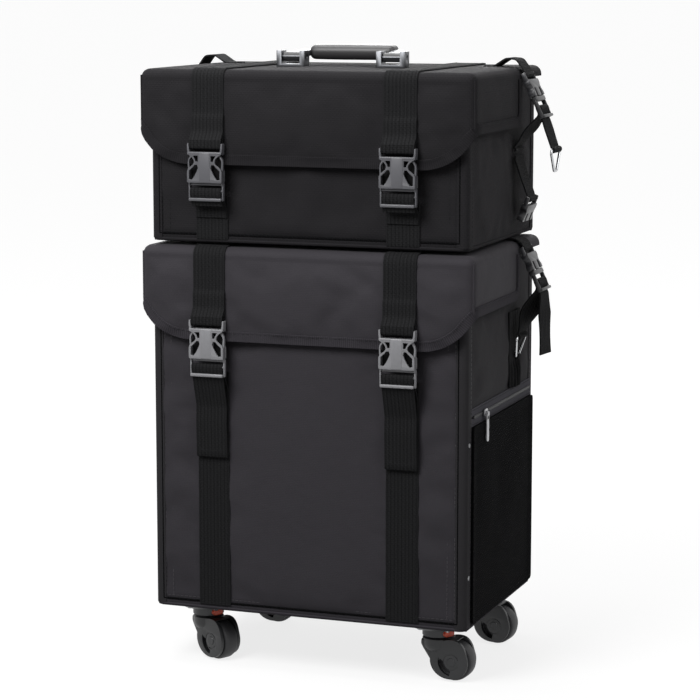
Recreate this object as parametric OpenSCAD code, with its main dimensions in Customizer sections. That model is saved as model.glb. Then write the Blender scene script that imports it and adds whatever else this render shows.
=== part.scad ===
// Two-part rolling case: a soft-sided trolley case on four swivel casters, with a matching bag stacked on its lid.
// Millimetres. X is the width, the front faces -Y, Z is up and 0 is the floor under the wheels.

/* [Cases] */
// Width of both case bodies
case_w = 370; // [340:5:420]
// Depth of both case bodies
case_d = 256; // [240:4:300]
// Height of the lower body, underside to rim
lower_h = 404; // [380:4:460]
// Height of the upper body, underside to rim
upper_h = 180; // [176:4:240]
// Thickness of the padded board walls
wall = 8; // [6:0.5:10]
// Radius of the bodies' outer edges
edge_r = 6; // [3:0.5:8]
// Thickness of the fabric lining
lining_t = 1.5; // [1:0.25:2.5]

/* [Lids] */
// Thickness of a lid's padded top
lid_t = 12; // [10:0.5:16]
// Thickness of a lid's front flap and side skirts
flap_t = 9; // [6:0.5:11]
// Gap between a lid's walls and the body
lid_gap = 1.5; // [1:0.25:3]
// Depth of the front flap below the lid's top
flap_h = 103; // [96:1:108]
// Radius of the flap's lower corners
flap_r = 66; // [61:1:90]
// Width of the flap's curved corner
flap_corner_w = 60; // [40:2:60]
// Length of the side skirts, from the flap backwards
skirt_len = 172; // [140:4:180]
// Radius of a lid's outer edges
lid_r = 10; // [6:0.5:11]

/* [Straps] */
// Width of the front webbing
strap_w = 38; // [30:1:38]
// Thickness of the webbing
strap_t = 2; // [1.5:0.25:2.5]
// Distance of the front straps from the middle
strap_x = 112; // [104:1:118]
// Width of the side webbing
side_strap_w = 30; // [25:1:32]
// Length of the lower case's loose strap ends
tail_lower = 92; // [40:2:110]
// Distance of the side straps behind the middle
side_y = 50; // [50:1:60]
// How far a side buckle leans out from the upright, in degrees
side_tilt = 25; // [15:1:30]
// Height of a side ring
ring_h = 24; // [20:1:26]
// Radius of the side rings' wire
ring_r = 1.5; // [1.25:0.25:1.75]

/* [Buckles] */
// Width of a buckle
buckle_w = 42; // [42:1:46]
// Thickness of a buckle
buckle_t = 10; // [9:0.5:11]
// Height of the receiver's windowed face
receiver_h = 34; // [32:1:36]
// Distance of the receiver's strap bar below the lid's top
receiver_drop = 84; // [80:1:88]
// How far the clip's prongs reach into the receiver
prong_h = 24; // [20:1:26]

/* [Carry handles] */
// Distance of a handle's brackets from the middle
bracket_x = 60; // [54:1:64]
// Width of a bracket
bracket_w = 34; // [32:1:38]
// Height of a bracket
bracket_h = 18; // [17:0.5:20]
// Radius of the handle's hinge pins
handle_pin_r = 2.5; // [2:0.25:3]
// Reach of the handle from its pins to the middle of the grip
handle_reach = 40; // [36:1:46]
// Thickness of the grip
grip_t = 16; // [14:0.5:17]

/* [Casters] */
// Height of the lower case's underside above the floor
ride_h = 66; // [66:1:74]
// Radius of a wheel
wheel_r = 22.5; // [20:0.5:22.5]
// Width of a wheel
wheel_w = 18; // [14:1:20]
// Distance of a wheel's axle behind its swivel axis
trail = 21; // [21:0.5:24]
// Distance of the swivel axes inside the case's sides
caster_side_inset = 45; // [43:1:55]
// Distance of the swivel axes inside the case's front and back
caster_end_inset = 44; // [42:1:52]
// Radius of a socket's neck
neck_r = 18; // [17:0.5:20]
// Radius of the swivel stem
stem_r = 5.5; // [5:0.25:6]
// Radius of the wheel axle
axle_r = 3; // [2.5:0.25:3.5]

/* [Pull handle] */
// Distance of the pull handle's tubes from the middle
tube_x = 100; // [96:1:104]
// Outer radius of the fixed tubes
tube_r = 9; // [8:0.25:10]
// Wall of every tube
tube_wall = 1.2; // [1:0.1:1.2]
// Gap between one tube and the next
tube_gap = 0.3; // [0.2:0.05:0.4]
// Distance of the fixed tubes' ends inside the lower body's rim
tube_inset = 10; // [6:1:20]

/* [Side pocket] */
// Height of the pocket's zip above the lower case's underside
zip_z = 237; // [220:2:240]
// How far the pocket stands out from the side
pocket_t = 4.5; // [3:0.5:4.5]
// Distance of the zip slider behind the front of the case
slider_y = 58; // [50:2:80]

/* [Hidden] */

$fn = 48;
clear = 0.3;
touch = 0.05;

half_w = case_w / 2;
half_d = case_d / 2;
// The back panels rise to the lids' tops, so that each lid hinges inside its back panel
lower_z = ride_h;
lower_rim = lower_z + lower_h;
lower_top = lower_rim + lid_t;
upper_z = lower_top + 2 * strap_t + clear;
upper_rim = upper_z + upper_h;
upper_top = upper_rim + lid_t;
lid_half_w = half_w + lid_gap + flap_t;
lid_front = -half_d - lid_gap - flap_t;
lid_back = half_d - wall - 0.5;
lid_rim_gap = 0.4;
flap_drop = flap_r - sqrt(flap_r * flap_r - flap_corner_w * flap_corner_w);
skirt_h = flap_h - flap_drop;
skirt_end_r = 16;
// Length by which the lids' outlines run on below the flap, where they are cut off
outline_tail = 60;

// Buckles: the receiver hangs on the lid strap's loop and the clip comes up into it
buckle_y = lid_front - strap_t - 0.2 - buckle_t / 2;
bar_r = 1.6;
loop_r = bar_r + 0.1 + strap_t;
slot_h = 6;
receiver_top_drop = receiver_drop + slot_h;
receiver_end_drop = receiver_top_drop + receiver_h;
plate_t = 2.4;
prong_t = buckle_t - 2 * plate_t - 1.2;
lock_h = 20;
lock_bar_drop = receiver_end_drop + 9;
waist = 6;
tail_upper = 22;
core_w = 9;

// Handles
grip_len = 2 * bracket_x - bracket_w + 18;
pin_z = bracket_h - 7;
bracket_d = 16;
cheek_w = 6;
barrel_r = 6;
handle_pin_y = -14;
well_w = 2 * bracket_x + bracket_w + 16;
well_d = bracket_d + handle_reach + grip_t + 26;
well_h = bracket_h - 2 * strap_t + 3;
well_wall = 4;
well_y = handle_pin_y + handle_reach / 2;

// Casters
caster_x = half_w - caster_side_inset;
caster_y = half_d - caster_end_inset;
plate_h = 7;
neck_h = 10;
neck_z = ride_h - plate_h - neck_h;
hood_gap = 0.5;
hood_z = neck_z - hood_gap;
hood_clear = 1.5;
leg_t = 4;
leg_in = wheel_w / 2 + 1;
boss_r = 16;
screw_ring = 23;
screw_r = 2;
screw_grip = 4;
release_z = neck_z + neck_h / 2;
release_h = 7;
release_w = 14;
release_out = 2.2;
release_travel = 2;
release_angle = -32;
// Name, side, end and trailing direction of each caster
CASTERS = [[-1, -1, -28], [1, -1, -4], [-1, 1, 0], [1, 1, -6]];

// Pull handle
mid_r = tube_r - tube_wall - tube_gap;
in_r = mid_r - tube_wall - tube_gap;
tube_y = half_d + tube_r + 3;
tube_z = lower_z + 14;
collar_h = 26;
tube_top = lower_rim - tube_inset;
tube_len = tube_top - tube_z;
collar_z = tube_top - collar_h;
grip_gap = 20;
grip_bar_h = 18;
grip_bar_z = tube_top + grip_gap;
grip_d = 2 * tube_r + 5;
grip_half = tube_x + tube_r + 3;

// Corner rivets
rivet_low = lower_z + 60;
rivet_high = lower_z + 208;

// Side pocket
pocket_front = -half_d + 15;
pocket_back = half_d - 8;
zip_h = 20;
zip_top = lower_z + zip_z + zip_h / 2;
teeth_w = 4;
teeth_t = 1.6;
slider_at = -half_d + slider_y;
tape_t = 1.4;
slider_x = half_w + tape_t + teeth_t + clear;
pull_x = slider_x + 2.9;
pull_z = zip_top - zip_h / 2 - 1.5;

// Side straps: the buckle hangs from the lid's edge, and all drops are below the lid's top
side_half = side_strap_w / 2 + 4;
web_half = side_strap_w / 2;
hang_x = lid_half_w + loop_r + 0.2;
hang_drop = 9;
side_mouth = 26;
side_bar = 40;
side_end = 52;
side_t = 8;
side_prong = 5;
side_prong_y = 9;
ring_half = side_strap_w / 2 + 5;
ring_foot = 5;
ring_tilt = 12;
ring_loop_r = ring_r + 0.25 + strap_t;
ring_x = half_w + strap_t + ring_loop_r - 1;
ring_drop = 133;
patch_top = 80;
patch_low = 158;
side_tail_drop = 129;
hem_r = 3;
hem_x = half_w + hem_r + clear;
upper_hem_drop = 92;
upper_ring_x = hang_x + 33;
upper_ring_drop = 92;
tie_drop = 101;
tie_x = half_w + 20;
tie_end_drop = 148;
tie_tilt = -20;

module round_rect(w, h, r) {
  square([w, h - 2 * r], center = true);
  square([w - 2 * r, h], center = true);
  for (x = [-1, 1], y = [-1, 1])
    translate([x * (w / 2 - r), y * (h / 2 - r)]) circle(r);
}

// A block centred on X and Y that stands on z = 0, with every edge rounded
module soft_block(w, d, h, r) {
  intersection() {
    translate([0, 0, -1]) linear_extrude(h + 2) round_rect(w, d, r);
    translate([0, d / 2 + 1, h / 2]) rotate([90, 0, 0]) linear_extrude(d + 2) round_rect(w, h, r);
    translate([-w / 2 - 1, 0, h / 2]) rotate([90, 0, 90]) linear_extrude(w + 2) round_rect(d, h, r);
  }
}

module box(x0, x1, y0, y1, z0, z1) {
  translate([x0, y0, z0]) cube([x1 - x0, y1 - y0, z1 - z0]);
}

// A cylinder along X between x0 and x1
module rod_x(x0, x1, y, z, r) {
  translate([x0, y, z]) rotate([0, 90, 0]) cylinder(h = x1 - x0, r = r);
}

// A cylinder along Y between y0 and y1
module rod_y(y0, y1, x, z, r) {
  translate([x, y1, z]) rotate([90, 0, 0]) cylinder(h = y1 - y0, r = r);
}

// Webbing seen from its edge: a band of thickness t along straight runs, with round bends
module band(points, t) {
  for (i = [0 : len(points) - 2]) {
    run = points[i + 1] - points[i];
    translate(points[i]) rotate(atan2(run[1], run[0])) translate([0, -t / 2]) square([norm(run), t]);
  }
  for (i = [1 : len(points) - 2])
    translate(points[i]) circle(t / 2, $fn = 24);
}

// Lays a drawing of (y, z) points across X between x0 and x1
module across_x(x0, x1) {
  translate([x0, 0, 0]) rotate([90, 0, 90]) linear_extrude(x1 - x0) children();
}

// Lays a drawing of (x, z) points across Y between y0 and y1
module across_y(y0, y1) {
  translate([0, y1, 0]) rotate([90, 0, 0]) linear_extrude(y1 - y0) children();
}

// Case bodies

module body_form(z, h) {
  translate([0, 0, z]) soft_block(case_w, case_d, h + lid_t, edge_r);
}

module front_panel(z, h) {
  intersection() {
    body_form(z, h);
    box(-half_w, half_w, -half_d, -half_d + wall, z, z + h);
  }
}

module wall_panels(z, h) {
  intersection() {
    body_form(z, h);
    union() {
      box(-half_w, -half_w + wall, -half_d + wall, half_d - wall, z, z + h);
      box(half_w - wall, half_w, -half_d + wall, half_d - wall, z, z + h);
    }
  }
  intersection() {
    body_form(z, h);
    box(-half_w, half_w, half_d - wall, half_d, z, z + h + lid_t);
  }
}

module base_board(z) {
  box(-half_w + wall, half_w - wall, -half_d + wall, half_d - wall, z, z + wall);
}

module lining(z, h) {
  in_x = half_w - wall;
  in_y = half_d - wall;
  difference() {
    box(-in_x, in_x, -in_y, in_y, z + wall, z + h - 2);
    box(-in_x + lining_t, in_x - lining_t, -in_y + lining_t, in_y - lining_t, z + wall + lining_t, z + h + 1);
  }
}

module lower_front_panel() {
  color("#35333a") front_panel(lower_z, lower_h);
}

module lower_wall_panels() {
  color("#2b2a2d") wall_panels(lower_z, lower_h);
}

module lower_base_panel() {
  color("#232325") difference() {
    base_board(lower_z);
    at_each_screw() translate([0, 0, lower_z - 1]) cylinder(h = screw_grip + 1, r = screw_r, $fn = 24);
  }
}

module lower_lining() {
  color("#1d1d20") lining(lower_z, lower_h);
}

module upper_front_panel() {
  color("#29282b") front_panel(upper_z, upper_h);
}

module upper_wall_panels() {
  color("#232224") wall_panels(upper_z, upper_h);
}

// Raised box inside the upper bag's base, over the well that clears the lower case's handle
module well_block(grow) {
  box(-well_w / 2 - grow, well_w / 2 + grow, well_y - well_d / 2 - grow, well_y + well_d / 2 + grow,
    upper_z, upper_z + well_h + grow);
}

module upper_base_panel() {
  color("#232325") difference() {
    union() {
      base_board(upper_z);
      well_block(well_wall);
    }
    translate([0, 0, -1]) well_block(0);
  }
}

module upper_lining() {
  color("#1d1d20") {
    difference() {
      lining(upper_z, upper_h);
      well_block(well_wall + touch);
    }
    difference() {
      well_block(well_wall + touch + lining_t);
      well_block(well_wall + touch);
      box(-half_w, half_w, -half_d, half_d, upper_z - 1, upper_z + wall + lining_t);
    }
  }
}

// Lids

// The outline that the lid's top and front share, seen from the side
module lid_side_outline(top, grow) {
  depth = lid_back - lid_front + outline_tail;
  height = flap_h + outline_tail;
  translate([lid_front + depth / 2, top - height / 2])
    round_rect(depth + 2 * grow, height + 2 * grow, lid_r + grow);
}

module lid_form(top) {
  depth = lid_back - lid_front;
  intersection() {
    translate([0, (lid_back + lid_front) / 2, top - flap_h - 1]) linear_extrude(flap_h + 2)
      round_rect(2 * lid_half_w, depth, lid_r);
    across_y(lid_front - 1, lid_back + 1) translate([0, top - (flap_h + outline_tail) / 2])
      round_rect(2 * lid_half_w, flap_h + outline_tail, lid_r);
    across_x(-lid_half_w - 1, lid_half_w + 1) lid_side_outline(top, 0);
  }
}

module flap_outline(top) {
  low = top - flap_h;
  translate([-lid_half_w, low + flap_drop]) square([2 * lid_half_w, skirt_h]);
  translate([-lid_half_w + flap_corner_w, low]) square([2 * (lid_half_w - flap_corner_w), flap_h]);
  intersection() {
    translate([-lid_half_w, low]) square([2 * lid_half_w, flap_h]);
    for (s = [-1, 1])
      translate([s * (lid_half_w - flap_corner_w), low + flap_r]) circle(flap_r, $fn = 96);
  }
}

// Side skirt seen from the side, with its rear end rounded
module skirt_outline(top) {
  end = lid_front + skirt_len;
  translate([lid_front, top - skirt_h]) square([skirt_len - skirt_end_r, skirt_h]);
  translate([lid_front, top - skirt_h + skirt_end_r]) square([skirt_len, skirt_h - skirt_end_r]);
  translate([end - skirt_end_r, top - skirt_h + skirt_end_r]) circle(skirt_end_r);
}

module lid(top) {
  rim = top - lid_t + lid_rim_gap;
  intersection() {
    lid_form(top);
    union() {
      box(-lid_half_w, lid_half_w, lid_front, lid_back, rim, top);
      across_y(lid_front, -half_d - lid_gap) flap_outline(top);
      across_x(-lid_half_w, -half_w - lid_gap) skirt_outline(top);
      across_x(half_w + lid_gap, lid_half_w) skirt_outline(top);
    }
  }
}

module lower_lid() {
  color("#43404a") lid(lower_top);
}

module upper_lid() {
  color("#2d2b30") lid(upper_top);
}

// Straps and buckles

// Webbing over the lid's top and down its flap, ending in a loop round the receiver's bar
module lid_strap(top, x) {
  bar_z = top - receiver_drop;
  bar_y = buckle_y;
  across_x(x - strap_w / 2, x + strap_w / 2) intersection() {
    difference() {
      lid_side_outline(top, strap_t);
      lid_side_outline(top, 0);
    }
    translate([lid_front - strap_t - 1, bar_z]) square([lid_back - lid_front - 8, receiver_drop + strap_t + 1]);
  }
  loop_in = buckle_w / 2 - 4.2;
  difference() {
    rod_x(x - loop_in, x + loop_in, bar_y, bar_z, loop_r);
    rod_x(x - loop_in - 1, x + loop_in + 1, bar_y, bar_z, bar_r + 0.1);
  }
  box(x - loop_in, x + loop_in, bar_y + loop_r - strap_t, lid_front - touch, bar_z - 1, bar_z + 8);
}

module lid_straps(top) {
  for (s = [-1, 1])
    lid_strap(top, s * strap_x);
}

// Receiver's face: wide at both ends, with a waist where the clip's prongs show
module receiver_face(bottom) {
  half = buckle_w / 2;
  mid = bottom + receiver_h * 0.58;
  difference() {
    polygon([
      [-half, bottom], [half, bottom], [half, bottom + 9], [half - waist, mid], [half, bottom + receiver_h - 4],
      [half, bottom + receiver_h], [-half, bottom + receiver_h], [-half, bottom + receiver_h - 4],
      [-half + waist, mid], [-half, bottom + 9]
    ]);
    for (s = [-1, 1]) {
      polygon([
        [s * (half - 3), bottom + 4], [s * (half - 8), bottom + 4], [s * (core_w / 2 + 3.5), bottom + 16],
        [s * (core_w / 2 + 6), bottom + 17.5], [s * (half - 3), bottom + 9]
      ]);
      translate([s * (core_w / 2 + 5), bottom + 25.5]) square([4.5, 6], center = true);
    }
  }
}

module receiver(top, x) {
  bottom = top - receiver_end_drop;
  half = buckle_w / 2;
  y0 = buckle_y - buckle_t / 2;
  y1 = buckle_y + buckle_t / 2;
  translate([x, 0, 0]) {
    across_y(y0, y0 + plate_t) receiver_face(bottom);
    across_y(y1 - plate_t, y1) receiver_face(bottom);
    box(-core_w / 2, core_w / 2, y0, y1, bottom, bottom + receiver_h);
    box(-half, half, y0, y1, bottom + receiver_h - 3, bottom + receiver_h);
    // Side rails and the bar that the lid strap loops round
    for (s = [-1, 1])
      across_y(y0 + 1, y1 - 1) polygon([
        [s * half, bottom + receiver_h - 1], [s * (half - 3.6), bottom + receiver_h - 1],
        [s * (half - 3.6), bottom + receiver_h + slot_h + 3], [s * (half - 1.5), bottom + receiver_h + slot_h + 4]
      ]);
    rod_x(-half + 2, half - 2, buckle_y, top - receiver_drop, bar_r);
  }
}

module receivers(top) {
  for (s = [-1, 1])
    receiver(top, s * strap_x);
}

// Clip: two sprung prongs, and the ladder lock that the front strap threads through
module clip(top, x) {
  mouth = top - receiver_end_drop;
  half = buckle_w / 2;
  low = mouth - lock_h;
  y0 = buckle_y - prong_t / 2;
  y1 = buckle_y + prong_t / 2;
  prong_x = half - 8.5;
  translate([x, 0, 0]) {
    across_y(y0, y1) for (s = [-1, 1]) {
      difference() {
        translate([s * prong_x - 2.4, mouth - 4]) square([4.8, prong_h + 4]);
        translate([s * prong_x - s * 2.4, mouth + 12]) circle(1.4);
      }
      translate([s * (half - 6.2), mouth + receiver_h * 0.58]) circle(5.6);
      translate([s * (half - 9), mouth + prong_h - 1]) circle(3);
    }
    box(-half + 1, half - 1, buckle_y - buckle_t / 2 + 0.4, buckle_y + buckle_t / 2 - 0.4, mouth - 4, mouth - clear);
    for (s = [-1, 1])
      across_y(buckle_y - buckle_t / 2 + 1, buckle_y + buckle_t / 2 - 1)
        translate([s * (half - 1.7) - 1.3, low]) square([2.6, lock_h - 2]);
    rod_x(-half + 1, half - 1, buckle_y, top - lock_bar_drop, bar_r);
    box(-half + 1.2, half - 1.2, buckle_y - buckle_t / 2 + 1, buckle_y - buckle_t / 2 + 4, low, low + 3.4);
  }
}

// Webbing that folds over the clip's bar: a rear run down to the front panel and a loose end in front of it
module strap_tail(top, x, length, loose) {
  inner = buckle_w / 2 - 3.4;
  w = min(inner, strap_w / 2);
  bar_z = top - lock_bar_drop;
  panel_y = -half_d - strap_t - clear;
  fall = min(length, 34);
  low = top - receiver_end_drop - lock_h - length;
  across_x(x - w, x + w) {
    difference() {
      translate([buckle_y, bar_z]) circle(loop_r, $fn = 24);
      translate([buckle_y, bar_z]) circle(bar_r + touch, $fn = 24);
      translate([buckle_y - 10, bar_z - 20]) square([20, 20]);
    }
    band([[buckle_y + loop_r - strap_t / 2, bar_z + 0.1], [buckle_y + loop_r - strap_t / 2, bar_z - 6],
      [panel_y - strap_t / 2, bar_z - 6 - fall * 0.6], [panel_y - strap_t / 2, low + 2]], strap_t);
    if (loose) band([[buckle_y - loop_r + strap_t / 2, bar_z + 0.1], [buckle_y - loop_r + strap_t / 2, bar_z - 3],
      [buckle_y + 1.2, bar_z - 10], [panel_y - strap_t - 1.8, bar_z - 8 - fall * 0.7],
      [panel_y - strap_t - 1.8, low]], strap_t);
  }
}

// Webbing sewn to the front panel, from the bottom edge up to the clip
module front_strap(z, top, x) {
  across_x(x - strap_w / 2, x + strap_w / 2)
    translate([-half_d - strap_t, z]) square([strap_t, top - z - receiver_end_drop - lock_h]);
}

module lower_body_straps() {
  color("#26262a") {
    for (s = [-1, 1])
      front_strap(lower_z + edge_r, lower_top, s * strap_x);
    both_sides() ring_patch(lower_top);
  }
}

// The upper bag's webbing runs under its base and up its back as well
module upper_body_straps() {
  color("#212124") for (s = [-1, 1]) {
    across_x(s * strap_x - strap_w / 2, s * strap_x + strap_w / 2) {
      intersection() {
        difference() {
          translate([0, upper_z + upper_h / 2]) round_rect(case_d + 2 * strap_t, upper_h + 2 * strap_t, edge_r + strap_t);
          translate([0, upper_z + upper_h / 2]) round_rect(case_d, upper_h, edge_r);
        }
        translate([-half_d - strap_t, upper_z - strap_t])
          square([case_d + 2 * strap_t, upper_h + lid_t - receiver_end_drop - lock_h + strap_t]);
      }
      translate([half_d, upper_z + edge_r]) square([strap_t, upper_h - 30]);
    }
  }
}

module lower_lid_straps() {
  color("#26262a") {
    lid_straps(lower_top);
    both_sides() side_tab(lower_top);
  }
}

module upper_lid_straps() {
  color("#212124") {
    lid_straps(upper_top);
    both_sides() side_tab(upper_top);
  }
}

module lower_receivers() {
  color("#9a9a9c") {
    receivers(lower_top);
    both_sides() at_hang(lower_top) side_receiver();
  }
}

module upper_receivers() {
  color("#5a5a5c") {
    receivers(upper_top);
    both_sides() at_hang(upper_top) side_receiver();
  }
}

module lower_left_clip() {
  color("#2a2a2c") clip(lower_top, -strap_x);
}

module lower_right_clip() {
  color("#2a2a2c") clip(lower_top, strap_x);
}

module upper_left_clip() {
  color("#2a2a2c") {
    clip(upper_top, -strap_x);
    strap_tail(upper_top, -strap_x, tail_upper, false);
  }
}

module upper_right_clip() {
  color("#2a2a2c") {
    clip(upper_top, strap_x);
    strap_tail(upper_top, strap_x, tail_upper, false);
  }
}

module lower_left_tail() {
  color("#26262a") strap_tail(lower_top, -strap_x, tail_lower, true);
}

module lower_right_tail() {
  color("#26262a") strap_tail(lower_top, strap_x, tail_lower, true);
}

// Carry handles

// Open metal bracket: a base plate, two cheeks and the pin across them
module handle_bracket(top, x) {
  translate([x, handle_pin_y, top]) {
    box(-bracket_w / 2, bracket_w / 2, -bracket_d / 2, bracket_d / 2, 0, 3);
    for (s = [-1, 1])
      difference() {
        translate([s * (bracket_w - cheek_w) / 2 - cheek_w / 2, -bracket_d / 2, 0]) cube([cheek_w, bracket_d, bracket_h]);
        rod_x(-bracket_w, bracket_w, 0, pin_z, handle_pin_r);
      }
    rod_x(-bracket_w / 2 + 1, bracket_w / 2 - 1, 0, pin_z, handle_pin_r);
  }
}

module handle_brackets(top) {
  for (s = [-1, 1])
    handle_bracket(top, s * bracket_x);
}

// Folded handle: a barrel on each pin, an arm back to the grip, and the grip
module handle(top) {
  barrel = bracket_w / 2 - cheek_w - clear;
  translate([0, handle_pin_y, top + pin_z]) {
    for (s = [-1, 1]) {
      difference() {
        union() {
          rod_x(s * bracket_x - barrel, s * bracket_x + barrel, 0, 0, barrel_r);
          translate([0, 0, -4]) linear_extrude(8) polygon([
            [s * (bracket_x - barrel), 0], [s * (bracket_x + barrel), 0], [s * (bracket_x + barrel), 12],
            [s * (bracket_x + 2), handle_reach], [s * (bracket_x - 12), handle_reach], [s * (bracket_x - barrel), 16]
          ]);
        }
        rod_x(-2 * bracket_x, 2 * bracket_x, 0, 0, handle_pin_r + touch);
      }
    }
    intersection() {
      translate([0, handle_reach, -grip_t / 2]) linear_extrude(grip_t) round_rect(grip_len, grip_t + 8, 10);
      across_x(-grip_len, grip_len) translate([handle_reach, 0]) round_rect(grip_t + 8, grip_t, 6.5);
    }
  }
}

module lower_handle_brackets() {
  color("silver") handle_brackets(lower_top);
}

module upper_handle_brackets() {
  color("silver") handle_brackets(upper_top);
}

module lower_handle() {
  color("#2b2a2b") handle(lower_top);
}

module upper_handle() {
  color("#2b2a2b") handle(upper_top);
}

// Casters

module at_caster(n) {
  c = CASTERS[n];
  translate([c[0] * caster_x, c[1] * caster_y, 0]) children();
}

module at_fork(n) {
  at_caster(n) rotate(CASTERS[n][2]) children();
}

module at_screw_ring() {
  for (a = [45 : 90 : 315])
    rotate(a) translate([screw_ring, 0, 0]) children();
}

module at_each_screw() {
  for (n = [0 : 3])
    at_caster(n) at_screw_ring() children();
}

module release_shape(r0, r1, grow) {
  round_w = release_w - release_h;
  rotate(release_angle) translate([0, 0, release_z]) {
    for (s = [-1, 1])
      translate([r0, s * round_w / 2, 0]) rotate([0, 90, 0]) cylinder(h = r1 - r0, r = release_h / 2 + grow);
    translate([r0, -round_w / 2, -release_h / 2 - grow]) cube([r1 - r0, round_w, release_h + 2 * grow]);
  }
}

module caster_socket() {
  difference() {
    union() {
      translate([0, 0, ride_h - plate_h]) cylinder(h = plate_h, r1 = 28, r2 = 37);
      translate([0, 0, neck_z]) cylinder(h = neck_h + 1, r = neck_r);
    }
    translate([0, 0, neck_z - 1]) cylinder(h = plate_h + neck_h - 2, r = stem_r + touch);
    release_shape(stem_r + 1.2, neck_r + 4, clear);
    at_screw_ring() translate([0, 0, ride_h - plate_h - 1]) cylinder(h = plate_h + 2, r = screw_r, $fn = 24);
  }
}

module caster_sockets() {
  color("#3a3b3c") for (n = [0 : 3])
    at_caster(n) caster_socket();
}

module caster_release(n) {
  color("#d9482f") at_caster(n) release_shape(stem_r + 1.2 + release_travel + 0.6, neck_r + release_out, 0);
}

module leg_outline() {
  polygon([
    [-neck_r + 1, hood_z], [neck_r - 1, hood_z], [trail + 12, wheel_r + 10], [trail, wheel_r],
    [trail - boss_r + 1.5, wheel_r - 6.5], [-neck_r + 2, hood_z - 11]
  ]);
  translate([trail, wheel_r]) circle(boss_r);
}

module fork(n) {
  out = leg_in + leg_t;
  color("#343536") at_fork(n) {
    difference() {
      union() {
        translate([0, 0, hood_z - 11]) cylinder(h = 11, r = neck_r - 0.5);
        for (s = [-1, 1])
          across_y(s > 0 ? leg_in : -out, s > 0 ? out : -leg_in) leg_outline();
        intersection() {
          rod_y(-out, out, trail, wheel_r, wheel_r + hood_clear + 2.5);
          box(-neck_r, trail + 8, -out, out, wheel_r - 6, hood_z);
        }
      }
      rod_y(-leg_in, leg_in, trail, wheel_r, wheel_r + hood_clear);
      rod_y(-out - 1, out + 1, trail, wheel_r, axle_r);
      translate([0, 0, hood_z - 7]) cylinder(h = 8, r = stem_r);
    }
    translate([0, 0, hood_z - 7]) cylinder(h = 7 + hood_gap + neck_h + plate_h - 5, r = stem_r);
    rod_y(-out + 0.5, out - 0.5, trail, wheel_r, axle_r);
  }
}

module wheel(n) {
  color("#1e1e1f") at_fork(n) translate([trail, 0, wheel_r]) rotate([90, 0, 0]) rotate_extrude($fn = 96) {
    difference() {
      union() {
        translate([axle_r + touch, -wheel_w / 2]) square([wheel_r - 3 - axle_r, wheel_w]);
        translate([axle_r + touch, -wheel_w / 2 + 3]) square([wheel_r - axle_r - touch, wheel_w - 6]);
        for (s = [-1, 1])
          translate([wheel_r - 3, s * (wheel_w / 2 - 3)]) circle(3);
      }
      for (s = [-1, 1])
        translate([13, s * wheel_w / 2]) circle(2.4);
    }
  }
}

module front_left_fork() { fork(0); }
module front_right_fork() { fork(1); }
module rear_left_fork() { fork(2); }
module rear_right_fork() { fork(3); }
module front_left_wheel() { wheel(0); }
module front_right_wheel() { wheel(1); }
module rear_left_wheel() { wheel(2); }
module rear_right_wheel() { wheel(3); }
module front_left_release() { caster_release(0); }
module front_right_release() { caster_release(1); }
module rear_left_release() { caster_release(2); }
module rear_right_release() { caster_release(3); }

// Screws through the sockets into the base board, screws of the pull handle's brackets, and the side rivets
module case_fasteners() {
  color("#8d8e90") {
    at_each_screw() {
      translate([0, 0, ride_h - plate_h]) cylinder(h = plate_h + screw_grip, r = screw_r, $fn = 24);
      translate([0, 0, ride_h - plate_h - 1.6]) cylinder(h = 1.6, r1 = 2.4, r2 = 3.6, $fn = 24);
    }
    for (s = [-1, 1], z = [tube_z + 4, collar_z + collar_h / 2])
      rod_y(tube_y + grip_d / 2, tube_y + grip_d / 2 + 1.6, s * (tube_x - 24), z, 4);
    for (s = [-1, 1], y = [-half_d + 8, half_d - 5], z = [rivet_low, rivet_high])
      rod_x(s > 0 ? half_w : -half_w - 1.5, s > 0 ? half_w + 1.5 : -half_w, y, z, 2.5);
  }
}

// Pull handle

module tube_pair(z, length, r) {
  for (s = [-1, 1])
    translate([s * tube_x, tube_y, z]) difference() {
      cylinder(h = length, r = r);
      translate([0, 0, -1]) cylinder(h = length + 2, r = r - tube_wall);
    }
}

module trolley_tubes() {
  color("#4a4b4d") tube_pair(tube_z, tube_len, tube_r);
}

module trolley_middle_tubes() {
  color("#8f9092") tube_pair(tube_z + 8, tube_len - 8, mid_r);
}

module trolley_inner_tubes() {
  color("#a5a6a8") tube_pair(tube_z + 16, tube_len - 16 + grip_gap, in_r);
}

// Foot bracket and top collar that hold the fixed tubes against the back panel
module trolley_brackets() {
  color("#242526") difference() {
    for (z = [tube_z - 6, collar_z])
      translate([0, (half_d + tube_y + grip_d / 2) / 2, z])
        linear_extrude(z < collar_z ? 24 : collar_h)
          round_rect(2 * grip_half, tube_y + grip_d / 2 - half_d, 5);
    for (s = [-1, 1])
      translate([s * tube_x, tube_y, tube_z]) cylinder(h = tube_len + 10, r = tube_r);
  }
}

module trolley_grip() {
  color("#1d1d1e") translate([0, tube_y, 0]) difference() {
    union() {
      across_y(-grip_d / 2 + 2, grip_d / 2 - 2) translate([0, grip_bar_z + grip_bar_h / 2])
        round_rect(2 * grip_half, grip_bar_h, 8);
      for (s = [-1, 1])
        translate([s * tube_x, 0, tube_top + clear]) cylinder(h = grip_gap + 6, r = tube_r);
    }
    for (s = [-1, 1])
      translate([s * tube_x, 0, tube_top - 1]) cylinder(h = grip_gap + 1, r = in_r);
    translate([0, 0, grip_bar_z + grip_bar_h - 8]) linear_extrude(10) round_rect(34 + 2 * clear, 12 + 2 * clear, 5);
  }
}

module trolley_button() {
  color("#606164") translate([0, tube_y, grip_bar_z + grip_bar_h - 4]) linear_extrude(6) round_rect(34, 12, 5);
}

// Side pocket and its zip, on the right side of the lower case

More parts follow.
